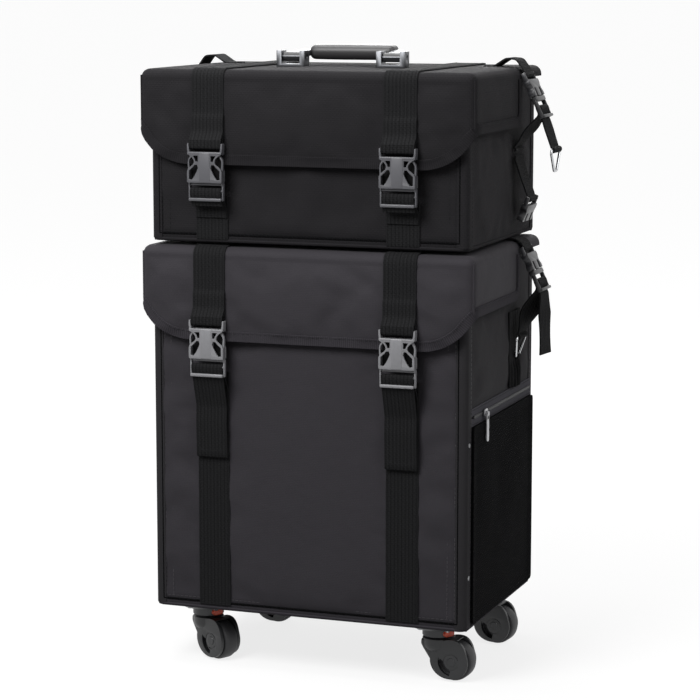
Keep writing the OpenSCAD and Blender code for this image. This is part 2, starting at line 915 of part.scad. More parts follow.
module side_pocket() {
  h = zip_top - zip_h - lower_z - 6;
  d = pocket_back - pocket_front;
  color("#131314") intersection() {
    translate([half_w, (pocket_front + pocket_back) / 2, lower_z + 6 + h / 2]) rotate([90, 0, 90])
      linear_extrude(pocket_t) round_rect(d, h, 5);
    translate([half_w, (pocket_front + pocket_back) / 2, lower_z + 6]) rotate([0, 0, 90])
      soft_block(d, 2 * pocket_t, h, pocket_t - 0.5);
  }
}

module pocket_zip() {
  mid = zip_top - zip_h / 2;
  color("#232224") {
    box(half_w, half_w + tape_t, pocket_front, pocket_back, zip_top - zip_h, zip_top);
    box(half_w, half_w + tape_t + teeth_t, pocket_front + 6, pocket_back - 6, mid - teeth_w / 2, mid + teeth_w / 2);
  }
}

module zip_slider() {
  color("#b9babc") {
    translate([slider_x, slider_at, pull_z + 1.5]) rotate([90, 0, 90]) linear_extrude(1.6) round_rect(11, 8, 2.5);
    difference() {
      translate([pull_x - 0.3, slider_at, pull_z]) rotate([90, 0, 0]) linear_extrude(5, center = true)
        round_rect(4, 6, 1.8);
      rod_y(slider_at - 4, slider_at + 4, pull_x, pull_z, 0.95);
    }
  }
}

module zip_pull() {
  color("#c4c5c7") {
    rod_y(slider_at - 3.6, slider_at + 3.6, pull_x, pull_z, 0.9);
    for (s = [-1, 1])
      box(pull_x - 0.9, pull_x + 0.9, slider_at + s * 3.1 - 0.5, slider_at + s * 3.1 + 0.5, pull_z - 7.5, pull_z);
    translate([pull_x - 0.9, slider_at, pull_z - 18.5]) rotate([90, 0, 90]) linear_extrude(1.8) round_rect(7.2, 25, 2.5);
  }
}

// Side straps. The right side is drawn in (x, z), and the left mirrors it

module both_sides() {
  children();
  mirror([1, 0, 0]) children();
}

module across_side(half) {
  across_y(side_y - half, side_y + half) children();
}

// The frame of a side buckle: it hangs down from the origin, with X facing outwards
module at_hang(top) {
  translate([hang_x, side_y, top - hang_drop]) rotate([0, -side_tilt, 0]) children();
}

// A point in that frame, n outwards and s downwards, as (x, z)
function hang_at(top, n, s) = [
  hang_x + n * cos(side_tilt) + s * sin(side_tilt),
  top - hang_drop + n * sin(side_tilt) - s * cos(side_tilt)
];

// Webbing from the lid's top over its edge, ending in a loop round the receiver's bar
module side_tab(top) {
  across_side(web_half) {
    intersection() {
      difference() {
        translate([0, top + strap_t - 30]) round_rect(2 * (lid_half_w + strap_t), 60, lid_r + strap_t);
        translate([0, top - 30]) round_rect(2 * lid_half_w, 60, lid_r);
      }
      translate([lid_half_w - 40, top - hang_drop]) square([60, 20]);
    }
    difference() {
      translate([hang_x, top - hang_drop]) circle(loop_r, $fn = 32);
      translate([hang_x, top - hang_drop]) circle(bar_r + 0.1, $fn = 32);
    }
  }
}

module side_receiver() {
  t = side_t / 2;
  rod_y(-side_half + 1, side_half - 1, 0, 0, bar_r);
  for (s = [-1, 1])
    box(-2.5, 2.5, s * (side_half - 1.5) - 1.5, s * (side_half - 1.5) + 1.5, -7, 3);
  difference() {
    box(-t, t, -side_half, side_half, -side_mouth, -6);
    box(-t + 2.1, t - 2.1, -side_half + 4, side_half - 4, -side_mouth - 1, -side_mouth + 14);
    for (s = [-1, 1]) {
      rod_x(-t - 1, t + 1, s * side_half, -side_mouth + 10, 4.5);
      // Window that shows the clip's prong
      box(-t - 1, t + 1, s * side_prong_y - 2.6, s * side_prong_y + 2.6, -side_mouth - 1, -side_mouth + 2 * side_prong);
    }
  }
}

// Clip with its prongs in the receiver's mouth, and a ladder lock below
module side_clip() {
  t = side_t / 2;
  box(-t + 0.4, t - 0.4, -side_half + 1, side_half - 1, -side_mouth - 6, -side_mouth - clear);
  for (s = [-1, 1]) {
    box(-1.4, 1.4, s * side_prong_y - 2, s * side_prong_y + 2, -side_mouth - 1, -side_mouth + side_prong);
    box(-2.5, 2.5, s * (side_half - 2.2) - 1.2, s * (side_half - 2.2) + 1.2, -side_end, -side_mouth - 5);
  }
  rod_y(-side_half + 1.5, side_half - 1.5, 0, -side_bar, bar_r);
  box(1, t, -side_half + 1, side_half - 1, -side_end, -side_end + 3.4);
}

// Webbing over the clip's bar: an inner run to the point end, and a loose outer run to the point fall
module side_web(top, end, fall) {
  across_side(web_half) {
    difference() {
      translate(hang_at(top, 0, side_bar)) circle(loop_r, $fn = 32);
      translate(hang_at(top, 0, side_bar)) circle(bar_r + touch, $fn = 32);
      translate(hang_at(top, 0, side_bar)) rotate(side_tilt) translate([-10, -20]) square([20, 20]);
    }
    edge = loop_r - strap_t / 2;
    band([hang_at(top, -edge, side_bar - 0.1), hang_at(top, -edge, side_bar + 6), end], strap_t);
    band([hang_at(top, edge, side_bar - 0.1), hang_at(top, edge, side_bar + 3),
      hang_at(top, -1.6, side_end - 2), hang_at(top, -1.6, side_end + 2), fall], strap_t);
  }
}

// Wire ring with its short foot at the origin and its long bar above
module wire_ring() {
  knuckle = ring_r + 0.15;
  reach = ring_half - ring_foot;
  rod_y(-ring_half, ring_half, 0, ring_h, ring_r);
  rod_y(-ring_foot, ring_foot, 0, 0, ring_r);
  for (s = [-1, 1]) {
    translate([0, s * ring_half, ring_h]) sphere(knuckle);
    translate([0, s * ring_foot, 0]) sphere(knuckle);
    translate([0, s * ring_foot, 0]) rotate([-s * atan(reach / ring_h), 0, 0])
      cylinder(h = norm([reach, ring_h]), r = ring_r);
  }
}

// Patch sewn to the wall, gathered into a narrow loop round the ring's foot
module ring_patch(top) {
  across_side(web_half) translate([half_w, top - patch_low]) square([strap_t, patch_low - patch_top]);
  across_side(ring_foot - 1.5) difference() {
    translate([ring_x, top - ring_drop]) circle(ring_loop_r, $fn = 32);
    translate([ring_x, top - ring_drop]) circle(ring_r + 0.25, $fn = 32);
  }
}

function ring_bar(top) = [ring_x + ring_h * sin(ring_tilt), top - ring_drop + ring_h * cos(ring_tilt)];

module lower_side_strap() {
  bar = ring_bar(lower_top);
  color("#222225") {
    at_hang(lower_top) side_clip();
    side_web(lower_top, bar + [1, ring_loop_r - 1], [hang_at(lower_top, 2, side_end)[0], lower_top - side_tail_drop]);
    across_side(web_half) difference() {
      translate(bar) circle(ring_loop_r, $fn = 32);
      translate(bar) circle(ring_r + 0.25, $fn = 32);
    }
  }
}

module lower_ring() {
  color("#b4b5b7") translate([ring_x, side_y, lower_top - ring_drop]) rotate([0, ring_tilt, 0]) wire_ring();
}

// The upper bag's side strap is hemmed to the wall, and its loose end carries the ring
module upper_side_strap() {
  bar = [upper_ring_x, upper_top - upper_ring_drop];
  color("#1e1e20") {
    at_hang(upper_top) side_clip();
    side_web(upper_top, [hem_x + 1, upper_top - upper_hem_drop + 2], bar + [-1, ring_loop_r - 1]);
    across_side(web_half) {
      translate([hem_x, upper_top - upper_hem_drop]) circle(hem_r, $fn = 32);
      difference() {
        translate(bar) circle(ring_loop_r, $fn = 32);
        translate(bar) circle(ring_r + 0.25, $fn = 32);
      }
    }
  }
}

module upper_ring() {
  color("#b4b5b7") translate([upper_ring_x, side_y, upper_top - upper_ring_drop - ring_h]) wire_ring();
}

// Strap that hangs below it, with a receiver to tie the two cases together
module upper_tie() {
  end = [tie_x, upper_top - tie_end_drop];
  color("#1e1e20") {
    across_side(web_half) {
      translate([hem_x, upper_top - tie_drop]) circle(hem_r, $fn = 32);
      band([[hem_x + 1, upper_top - tie_drop - 1.5], end + [-0.5, loop_r - 1]], strap_t);
      difference() {
        translate(end) circle(loop_r, $fn = 32);
        translate(end) circle(bar_r + touch, $fn = 32);
      }
    }
    translate([end[0], side_y, end[1]]) rotate([0, -tie_tilt, 0]) side_receiver();
  }
}

module lower_right_side_strap() { lower_side_strap(); }
module lower_left_side_strap() { mirror([1, 0, 0]) lower_side_strap(); }
module lower_right_ring() { lower_ring(); }
module lower_left_ring() { mirror([1, 0, 0]) lower_ring(); }
module upper_right_side_strap() { upper_side_strap(); }
module upper_left_side_strap() { mirror([1, 0, 0]) upper_side_strap(); }
module upper_right_ring() { upper_ring(); }
module upper_left_ring() { mirror([1, 0, 0]) upper_ring(); }
module upper_right_tie() { upper_tie(); }
module upper_left_tie() { mirror([1, 0, 0]) upper_tie(); }

lower_front_panel();
lower_wall_panels();
lower_base_panel();
lower_lining();
lower_body_straps();
side_pocket();
pocket_zip();
zip_slider();
zip_pull();
lower_left_side_strap();
lower_right_side_strap();
lower_left_ring();
lower_right_ring();
caster_sockets();
case_fasteners();
front_left_fork();
front_right_fork();
rear_left_fork();
rear_right_fork();
front_left_wheel();
front_right_wheel();
rear_left_wheel();
rear_right_wheel();
front_left_release();
front_right_release();
rear_left_release();
rear_right_release();
trolley_tubes();
trolley_brackets();
trolley_middle_tubes();
trolley_inner_tubes();
trolley_grip();
trolley_button();
lower_lid();
lower_lid_straps();
lower_receivers();
lower_left_clip();
lower_right_clip();
lower_left_tail();
lower_right_tail();
lower_handle_brackets();
lower_handle();
upper_front_panel();
upper_wall_panels();
upper_base_panel();
upper_lining();
upper_body_straps();
upper_lid();
upper_lid_straps();
upper_receivers();
upper_left_clip();
upper_right_clip();
upper_handle_brackets();
upper_handle();
upper_left_side_strap();
upper_right_side_strap();
upper_left_ring();
upper_right_ring();
upper_left_tie();
upper_right_tie();
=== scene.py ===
"""Two-part rolling case: the soft covers, webbing, buckles, casters and handles that dress its frame."""

import math

import bmesh
import bpy
from bpy.props import FloatProperty, FloatVectorProperty, PointerProperty
from mathutils import Matrix, Vector, noise


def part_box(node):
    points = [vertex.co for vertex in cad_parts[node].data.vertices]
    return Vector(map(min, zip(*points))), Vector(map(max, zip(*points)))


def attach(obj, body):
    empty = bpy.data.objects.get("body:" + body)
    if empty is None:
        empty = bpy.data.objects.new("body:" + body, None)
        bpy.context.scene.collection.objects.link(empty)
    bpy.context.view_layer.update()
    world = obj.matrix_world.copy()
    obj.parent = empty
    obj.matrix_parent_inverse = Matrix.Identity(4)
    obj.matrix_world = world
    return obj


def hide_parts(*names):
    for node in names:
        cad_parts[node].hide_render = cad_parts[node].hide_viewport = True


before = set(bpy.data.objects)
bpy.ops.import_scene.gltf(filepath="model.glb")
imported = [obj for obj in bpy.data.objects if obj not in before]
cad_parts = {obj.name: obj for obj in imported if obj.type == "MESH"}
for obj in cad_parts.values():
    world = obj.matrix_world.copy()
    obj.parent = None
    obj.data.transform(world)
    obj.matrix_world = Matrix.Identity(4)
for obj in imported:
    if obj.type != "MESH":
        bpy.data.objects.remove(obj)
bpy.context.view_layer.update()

bl_info = {
    "name": "Rolling case",
    "version": (1, 0, 0),
    "blender": (4, 5, 0),
    "location": "3D view, sidebar, Case tab",
    "description": "Dresses a two-part rolling case: covers, webbing, buckles, handles and casters",
    "category": "Object",
}

MM = 0.001


class Half:
    """One half of the case, the trolley case below or the bag above: its heights, bodies and finishes."""

    def __init__(self, name, body, side_cloth, thread):
        low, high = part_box(f"{name}_front_panel")
        self.name, self.body, self.lid_body = name, body, f"{name}_lid"
        self.base, self.rim, self.top = low.z, high.z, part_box(f"{name}_lid")[1].z
        self.cloth, self.side_cloth, self.binding = f"{name}_cloth", side_cloth, f"{name}_binding"
        self.thread, self.slot = thread, f"{name}_fabric"


LOWER = Half("lower", "case", "lower_side", "thread")
UPPER = Half("upper", "upper_bag", "upper_cloth", "dark_thread")
HALVES = (LOWER, UPPER)
SIDES = {"left": -1, "right": 1}
MIRROR = Matrix.Scale(-1, 4, (1, 0, 0))

# Sizes that both halves share, from the frame
SIDE_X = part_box("lower_front_panel")[1].x
FRONT_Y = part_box("lower_front_panel")[0].y
BACK_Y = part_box("lower_wall_panels")[1].y
LID_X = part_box("lower_lid")[1].x
LID_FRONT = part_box("lower_lid")[0].y
LID_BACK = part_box("lower_lid")[1].y
FLAP_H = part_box("lower_lid")[1].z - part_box("lower_lid")[0].z
POCKET_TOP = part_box("pocket_zip")[1].z

# Sizes of the frame's own shapes
WALL = 8 * MM
EDGE_R = 6 * MM
LID_T = 12 * MM
FLAP_T = 9 * MM
LID_R = 10 * MM
FLAP_R = 66 * MM
FLAP_CORNER_W = 60 * MM
SKIRT_END_Y = 33.5 * MM
SKIRT_END_R = 16 * MM
STRAP_X = 112 * MM
STRAP_HALF = 19 * MM
TAIL_W = 36.8 * MM
RECEIVER_DROP = 84 * MM
RECEIVER_END_DROP = 124 * MM
LOCK_DROP = 133 * MM
CLIP_END_DROP = 144 * MM
BUCKLE_Y = -145.7 * MM
SIDE_Y = 50 * MM
SIDE_STRAP_W = 30 * MM
HANDLE_X, HANDLE_Y, HANDLE_RISE = 60 * MM, -14 * MM, 11 * MM
CASTER_X, CASTER_Y = 140 * MM, 84 * MM
TRAIL = 21 * MM
WHEEL_R = 22.5 * MM

# Sizes of the seams and of the covers' grids
SEAM_X = 176 * MM
SEAM_RISE = 9 * MM
SEAM_HALF = 1.6 * MM
LID_SEAM_DROP = 13 * MM
GRID = 8 * MM

FLAP_RISE = FLAP_R - math.sqrt(FLAP_R**2 - FLAP_CORNER_W**2)
SKIRT_H = FLAP_H - FLAP_RISE


def linear(code):
    """An sRGB hex colour as linear RGB."""
    parts = [int(code[i : i + 2], 16) / 255 for i in (1, 3, 5)]
    return [c / 12.92 if c <= 0.04045 else ((c + 0.055) / 1.055) ** 2.4 for c in parts]


def colour(name, code):
    return FloatVectorProperty(
        name=name, description=f"Colour of the {name.lower()}", subtype="COLOR", size=3, min=0, max=1,
        default=linear(code),
    )


def length(name, description, size):
    return FloatProperty(name=name, description=description, default=size, min=0, unit="LENGTH")


class CaseSizes(bpy.types.PropertyGroup):
    """Sizes of the soft goods"""

    swell: length("Swell", "How far the padded panels stand out between the straps", 2.2 * MM)
    wrinkle: length("Wrinkle", "Height of the cloth's soft waves", 0.9 * MM)
    webbing: length("Webbing thickness", "Thickness of the webbing", 1.8 * MM)
    binding: length("Binding width", "Width of the tape round the lids' edges", 10 * MM)
    stitch: length("Stitch length", "Length of one stitch", 3.4 * MM)
    stitch_pitch: length("Stitch pitch", "Distance from one stitch to the next", 5.2 * MM)


class CaseColours(bpy.types.PropertyGroup):
    """Colours of the finishes"""

    lower_cloth: colour("Lower cloth", "#343236")
    lower_side: colour("Lower side cloth", "#2c2b2d")
    upper_cloth: colour("Upper cloth", "#201f21")
    webbing: colour("Webbing", "#1c1c1d")
    lower_binding: colour("Lower binding", "#333135")
    upper_binding: colour("Upper binding", "#201f21")
    # Paler than the cloth: a painted highlight of the light the thread catches
    thread: colour("Thread", "#3e3c40")
    net: colour("Pocket net", "#111112")
    # Light grey: partly the buckles' own colour, partly a painted reflection of the soft lamps on their
    # glossy faces
    lower_buckle: colour("Lower buckles", "#7b7b7e")
    upper_buckle: colour("Upper buckles", "#4c4c50")
    side_buckle: colour("Side buckles", "#343437")
    clip: colour("Side clips", "#2b2b2d")
    caster: colour("Caster sockets", "#38393b")
    fork: colour("Caster forks", "#17181a")
    release: colour("Release tabs", "#ff5c3a")
    grip: colour("Handle grips", "#2b2a2b")


def sizes():
    return bpy.context.scene.rolling_case_sizes


def colours():
    return bpy.context.scene.rolling_case_colours


# Modelling by hand: a primitive is added, picked by place, shaped in edit mode and finished with modifiers


def fresh():
    """Object mode, with nothing selected."""
    if bpy.context.mode != "OBJECT":
        bpy.ops.object.mode_set(mode="OBJECT")
    bpy.ops.object.select_all(action="DESELECT")


def only(piece):
    """Object mode, with one piece alone selected and active."""
    fresh()
    piece.select_set(True)
    bpy.context.view_layer.objects.active = piece


def open_up(piece):
    """Opens one piece alone in edit mode."""
    only(piece)
    bpy.ops.object.mode_set(mode="EDIT")


def begin(name, shape, **place):
    """Adds one primitive, puts its place into its mesh and opens it in edit mode."""
    fresh()
    getattr(bpy.ops.mesh, f"primitive_{shape}_add")(**place)
    piece = bpy.context.object
    piece.name = name
    bpy.ops.object.transform_apply(location=True, rotation=True, scale=True)
    bpy.ops.object.mode_set(mode="EDIT")
    return piece


def block(name, low, high):
    """A cube from corner to corner, in edit mode."""
    low, high = Vector(low), Vector(high)
    return begin(name, "cube", size=1, location=(low + high) / 2, scale=high - low)


def select_all():
    bpy.ops.mesh.select_all(action="SELECT")


def pick(kind, test):
    """Selects the open piece's faces by test(middle, normal), or its edges by test(end, other end)."""
    bpy.ops.mesh.select_mode(type=kind)
    bpy.ops.mesh.select_all(action="DESELECT")
    shape = bmesh.from_edit_mesh(bpy.context.object.data)
    for part in shape.faces if kind == "FACE" else shape.edges:
        facts = (part.calc_center_median(), part.normal) if kind == "FACE" else [v.co for v in part.verts]
        part.select_set(bool(test(*facts)))
    shape.select_flush_mode()
    bmesh.update_edit_mesh(bpy.context.object.data)


def remove_faces(test):
    """Deletes the open piece's faces that test(middle, normal) chooses."""
    pick("FACE", test)
    bpy.ops.mesh.delete(type="FACE")


def bevel(width, segments):
    """Rounds what is selected in the open piece."""
    bpy.ops.mesh.bevel(offset=width, segments=segments, affect="EDGES")


def cut(point, normal, clear=False):
    """Bisects what is selected, and with clear drops what lies beyond the plane."""
    bpy.ops.mesh.bisect(plane_co=point, plane_no=normal, clear_outer=clear, use_fill=False)


def cut_grid(axis, places):
    """Cuts the whole open piece across one axis at each of the places."""
    normal = Vector((0, 0, 0))
    normal[axis] = 1
    for place in places:
        select_all()
        cut(normal * place, normal)


def steps(start, end, size):
    """Even places between start and end, about size apart, without the ends."""
    count = max(1, round((end - start) / size))
    return [start + (end - start) * i / count for i in range(1, count)]


def panel(name, low, high, radius, segments, test, grid):
    """A block with the edges that test chooses rounded, cut at the places that grid gives for each axis."""
    piece = block(name, low, high)
    pick("EDGE", test)
    bevel(radius, segments)
    for axis, places in grid.items():
        cut_grid(axis, places)
    return piece


def tidy():
    """Merges doubles, turns the faces outwards and closes the piece."""
    bpy.ops.mesh.select_mode(type="VERT")
    select_all()
    bpy.ops.mesh.remove_doubles(threshold=0.01 * MM)
    bpy.ops.mesh.normals_make_consistent(inside=False)
    fresh()


def modify(piece, kind, **settings):
    """Adds a modifier and applies it."""
    only(piece)
    made = piece.modifiers.new(kind, kind)
    for name, value in settings.items():
        setattr(made, name, value)
    bpy.ops.object.modifier_apply(modifier=made.name)
    return piece


def rounded_edges(piece, width, segments=2, angle=30):
    return modify(piece, "BEVEL", width=width, segments=segments, limit_method="ANGLE",
                  angle_limit=math.radians(angle), harden_normals=False)


def placed(name, data):
    """A new object in the scene, from a mesh, a lamp's data or a camera's."""
    made = bpy.data.objects.new(name, data)
    bpy.context.scene.collection.objects.link(made)
    return made


def joined(name, pieces):
    """Several pieces as one."""
    only(pieces[0])
    for piece in pieces[1:]:
        piece.select_set(True)
    if len(pieces) > 1:
        bpy.ops.object.join()
    pieces[0].name = name
    return pieces[0]


def copied(piece, name, move):
    """A copy of a finished piece with its own mesh, moved by a matrix."""
    made = placed(name, piece.data.copy())
    made.data.transform(move)
    if move.determinant() < 0:
        made.data.flip_normals()
    return made


def smooth(piece, angle=35):
    only(piece)
    bpy.ops.object.shade_smooth_by_angle(angle=math.radians(angle))


def dress(piece, finish, body, slot, nodes=(), angle=35):
    """Gives a finished piece its finish, the body it rides on and the nodes it stands for; its slot is not
    used.
    """
    if finish:
        piece.data.materials.clear()
        piece.data.materials.append(FINISHES[finish])
    smooth(piece, angle)
    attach(piece, body)
    if nodes:
        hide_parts(*nodes)
    return piece


def laid(name, rows, columns, place, flat):
    """A grid with each point laid by place(row, share across), and UVs in metres from flat(row, share)."""
    fresh()
    bpy.ops.mesh.primitive_grid_add(x_subdivisions=rows, y_subdivisions=columns, size=2)
    piece = bpy.context.object
    piece.name = name
    spots = [(round((v.co.x + 1) / 2 * rows), v.co.y / 2) for v in piece.data.vertices]
    for vertex, spot in zip(piece.data.vertices, spots):
        vertex.co = place(*spot)
    for loop, sheet in zip(piece.data.loops, piece.data.uv_layers.active.data):
        sheet.uv = flat(*spots[loop.vertex_index])
    return piece


def runs(line):
    """Distance along a line of points, at each point."""
    far = [0.0]
    for a, b in zip(line, line[1:]):
        far.append(far[-1] + (b - a).length)
    return far


def heading(line, index):
    """The way a line runs at one of its points."""
    return (line[min(index + 1, len(line) - 1)] - line[max(index - 1, 0)]).normalized()


def shifted(line, x):
    return [p + Vector((x, 0, 0)) for p in line]


def rounded(points, radius, step=5 * MM):
    """A line through the points with its corners rounded, as points about a step apart."""
    points = [Vector(p) for p in points]
    line = [points[0]]
    for before, corner, after in zip(points, points[1:], points[2:]):
        back, ahead = (before - corner).normalized(), (after - corner).normalized()
        turn = math.pi - back.angle(ahead)
        if turn < 0.02:
            line.append(corner)
            continue
        reach = radius * math.tan(turn / 2)
        reach = min(reach, 0.49 * (before - corner).length, 0.49 * (after - corner).length)
        bend = reach / math.tan(turn / 2)
        middle = corner + (back + ahead).normalized() * (bend / math.cos(turn / 2))
        first, last = corner + back * reach - middle, corner + ahead * reach - middle
        count = max(2, math.ceil(turn / math.radians(18)))
        for i in range(count + 1):
            line.append(middle + first.slerp(last, i / count, first) * bend)
    line.append(points[-1])
    filled = [line[0]]
    for a, b in zip(line, line[1:]):
        count = max(1, round((b - a).length / step))
        filled += [a.lerp(b, i / count) for i in range(1, count + 1)]
    return [p for i, p in enumerate(filled) if i == 0 or (p - filled[i - 1]).length > 1e-6]


def hoop(low, high, spot, radius, step=12 * MM):
    """A closed line round a rectangle of (a, b) points, each laid where spot(a, b) says."""
    (a0, b0), (a1, b1) = low, high
    corners = [(0, b0), (a1, b0), (a1, b1), (a0, b1), (a0, b0), (0, b0)]
    return rounded([spot(a, b) for a, b in corners], radius, step)


def ribbon(name, line, across, width, thick, columns=4, cup=0.0):
    """Webbing or tape along a line: U runs along it and V across it. across may change along the line."""
    ways = across if isinstance(across, list) else [Vector(across)] * len(line)
    far = runs(line)

    def place(row, share):
        up = heading(line, row).cross(ways[row]).normalized()
        return line[row] + ways[row] * (share * width) + up * (cup * (4 * share * share - 1))

    piece = laid(name, len(line) - 1, columns, place, lambda row, share: (far[row], share * width))
    modify(piece, "SOLIDIFY", thickness=thick, offset=0)
    open_up(piece)
    tidy()
    return rounded_edges(piece, min(thick * 0.3, 0.6 * MM), 1, 50)


def tube(name, line, radius, sides=8, shut=False):
    """A round cord or wire along a line."""
    far = runs(line)
    last = len(line) - 1

    def place(row, share):
        around = share * math.tau
        ends = [line[-2], line[0], line[1]]
        tangent = heading(ends, 1) if shut and row in (0, last) else heading(line, row)
        side = tangent.orthogonal() if abs(tangent.z) > 0.99 else tangent.cross((0, 0, 1))
        side.normalize()
        up = side.cross(tangent)
        return line[row] + side * (radius * math.cos(around)) + up * (radius * math.sin(around))

    piece = laid(name, last, sides, place, lambda row, share: (far[row], share * math.tau * radius))
    open_up(piece)
    select_all()
    bpy.ops.mesh.remove_doubles(threshold=0.01 * MM)
    if not shut:
        bpy.ops.mesh.select_all(action="DESELECT")
        bpy.ops.mesh.select_mode(type="EDGE")
        bpy.ops.mesh.select_non_manifold()
        bpy.ops.mesh.edge_face_add()
    tidy()
    return piece


def turned(name, profile, centre, axis, segments=40):
    """A profile of (distance from the axis, distance along it) spun round the axis."""
    centre, axis = Vector(centre), Vector(axis).normalized()
    out = axis.orthogonal().normalized()
    spots = [centre + out * r + axis * h for r, h in profile]
    piece = begin(name, "plane", size=0.001, location=spots[0])
    bpy.ops.mesh.merge(type="CENTER")
    for before, after in zip(spots, spots[1:]):
        bpy.ops.mesh.extrude_region_move(TRANSFORM_OT_translate={"value": after - before})
    select_all()
    bpy.ops.mesh.spin(steps=segments, angle=math.tau, center=centre, axis=axis)
    tidy()
    return piece


def plate(name, outline, low, high, frame_of):
    """A flat outline of (a, b) points, raised from low to high and laid by frame_of(a, b, height)."""
    piece = begin(name, "circle", vertices=len(outline), radius=1, fill_type="NGON")
    fresh()
    for vertex, (a, b) in zip(piece.data.vertices, outline):
        vertex.co = frame_of(a, b, low)
    open_up(piece)
    select_all()
    lift = frame_of(0, 0, high) - frame_of(0, 0, low)
    bpy.ops.mesh.extrude_region_move(TRANSFORM_OT_translate={"value": lift})
    tidy()
    return piece


def box_uv(piece):
    """UVs in metres, from the two directions that each face lies along, so that a weave follows the cloth."""
    mesh = piece.data
    sheet = (mesh.uv_layers.active or mesh.uv_layers.new(name="UVMap")).data
    for face in mesh.polygons:
        steep = max(range(3), key=lambda k: abs(face.normal[k]))
        a, b = [k for k in range(3) if k != steep]
        for loop in face.loop_indices:
            spot = mesh.vertices[mesh.loops[loop].vertex_index].co
            sheet[loop].uv = (spot[a], spot[b])


def stitches(name, rows, finish, body, slot):
    """Copies one stitch along rows, each a line of points and the direction out of the cloth."""
    long, pitch = sizes().stitch, sizes().stitch_pitch
    shape = begin("stitch", "cube", size=1, scale=(long, 0.9 * MM, 0.7 * MM))
    pick("FACE", lambda middle, normal: abs(normal.x) > 0.9)
    bpy.ops.transform.resize(value=(1, 0.45, 0.4), center_override=(0, 0, 0))
    fresh()
    points = [v.co.copy() for v in shape.data.vertices]
    faces = [tuple(f.vertices) for f in shape.data.polygons]
    bpy.data.objects.remove(shape)
    all_points, all_faces = [], []
    for line, out in rows:
        far = runs(line)
        at, index = pitch / 2, 0
        while at < far[-1] - long / 2:
            while far[index + 1] < at:
                index += 1
            a, b = line[index], line[index + 1]
            share = (at - far[index]) / max(far[index + 1] - far[index], 1e-9)
            along = (b - a).normalized()
            up = (out if isinstance(out, Vector) else out[index]).normalized()
            turn = Matrix((along, up.cross(along).normalized(), up)).transposed()
            start = len(all_points)
            all_points += [a.lerp(b, share) + turn @ p for p in points]
            all_faces += [tuple(start + i for i in face) for face in faces]
            at += pitch
    mesh = bpy.data.meshes.new(name)
    mesh.from_pydata(all_points, [], all_faces)
    return dress(placed(name, mesh), finish, body, slot)


def soft_copy(node, finish, body, slot, width, segments=2):
    """Stands a copy of a rigid node in for it, with its edges rounded as a mould leaves them."""
    piece = placed(f"{node}_moulding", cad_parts[node].data.copy())
    open_up(piece)
    select_all()
    bpy.ops.mesh.remove_doubles(threshold=0.02 * MM)
    bpy.ops.mesh.dissolve_limited(angle_limit=math.radians(1.5))
    rounded_edges(piece, width, segments, 32)
    return dress(piece, finish, body, slot, [node])


# Finishes


def add(tree, kind, inputs=None, **settings):
    """Adds a shader node, sets its settings and its inputs, and links those given as sockets."""
    made = tree.nodes.new("ShaderNode" + kind)
    for name, value in settings.items():
        setattr(made, name, value)
    for name, value in (inputs or {}).items():
        if isinstance(value, bpy.types.NodeSocket):
            tree.links.new(value, made.inputs[name])
        else:
            made.inputs[name].default_value = value
    return made


def maths(tree, operation, a, b=0.0):
    """The result of one Math node."""
    return add(tree, "Math", {0: a, 1: b}, operation=operation).outputs[0]


def mixed(tree, factor, a, b):
    return add(tree, "Mix", {0: factor, 2: a, 3: b}).outputs[0]


def object_place(tree):
    return add(tree, "TexCoord").outputs["Object"]


def emptied(owner):
    """The node tree of a material or a world, with nothing in it."""
    owner.use_nodes = True
    owner.node_tree.nodes.clear()
    return owner.node_tree


def blank(name, **constants):
    """A material with one Principled shader, its constants set on its own sockets."""
    made = bpy.data.materials.new(name)
    tree = emptied(made)
    shader = add(tree, "BsdfPrincipled", {k.replace("_", " "): v for k, v in constants.items()})
    add(tree, "OutputMaterial", {"Surface": shader.outputs[0]})
    return made, tree, shader


def plain(name, base, rough, gloss=0.5):
    """One even colour."""
    return blank(name, Base_Color=[*base, 1], Roughness=rough, Specular_IOR_Level=gloss)[0]


def shades(tree, shader, base, low, high, factor):
    """The base colour between two strengths of one colour, by a factor."""
    dark = [c * low for c in base] + [1]
    light = [min(1, c * high) for c in base] + [1]
    mix = add(tree, "Mix", {0: factor, 6: dark, 7: light}, data_type="RGBA")
    tree.links.new(mix.outputs[2], shader.inputs["Base Color"])


def emboss(tree, shader, height, strength, distance, **under):
    """Raises the surface by a height, on top of what an earlier bump gives, where one is named as Normal."""
    made = add(tree, "Bump", {"Strength": strength, "Distance": distance, "Height": height, **under})
    tree.links.new(made.outputs[0], shader.inputs["Normal"])
    return made.outputs[0]


def weave(tree, along, over):
    """Height of a plain weave on the UV map: threads of one pitch crossing threads of another."""
    flat = add(tree, "UVMap").outputs[0]
    scaled = add(tree, "Mapping", {"Vector": flat, "Scale": (math.pi / along, math.pi / over, 1)})
    split = add(tree, "SeparateXYZ", {"Vector": scaled.outputs[0]})
    warp, weft = (maths(tree, "SINE", split.outputs[i]) for i in (0, 1))
    over_warp = maths(tree, "GREATER_THAN", maths(tree, "MULTIPLY", warp, weft))
    return mixed(tree, over_warp, maths(tree, "ABSOLUTE", warp), maths(tree, "ABSOLUTE", weft))


def clouds(tree, scale, detail=3.0, rough=0.55):
    """Soft noise on the object's own coordinates, with scale in features per metre."""
    inputs = {"Vector": object_place(tree), "Scale": scale, "Detail": detail, "Roughness": rough}
    return add(tree, "TexNoise", inputs).outputs[0]


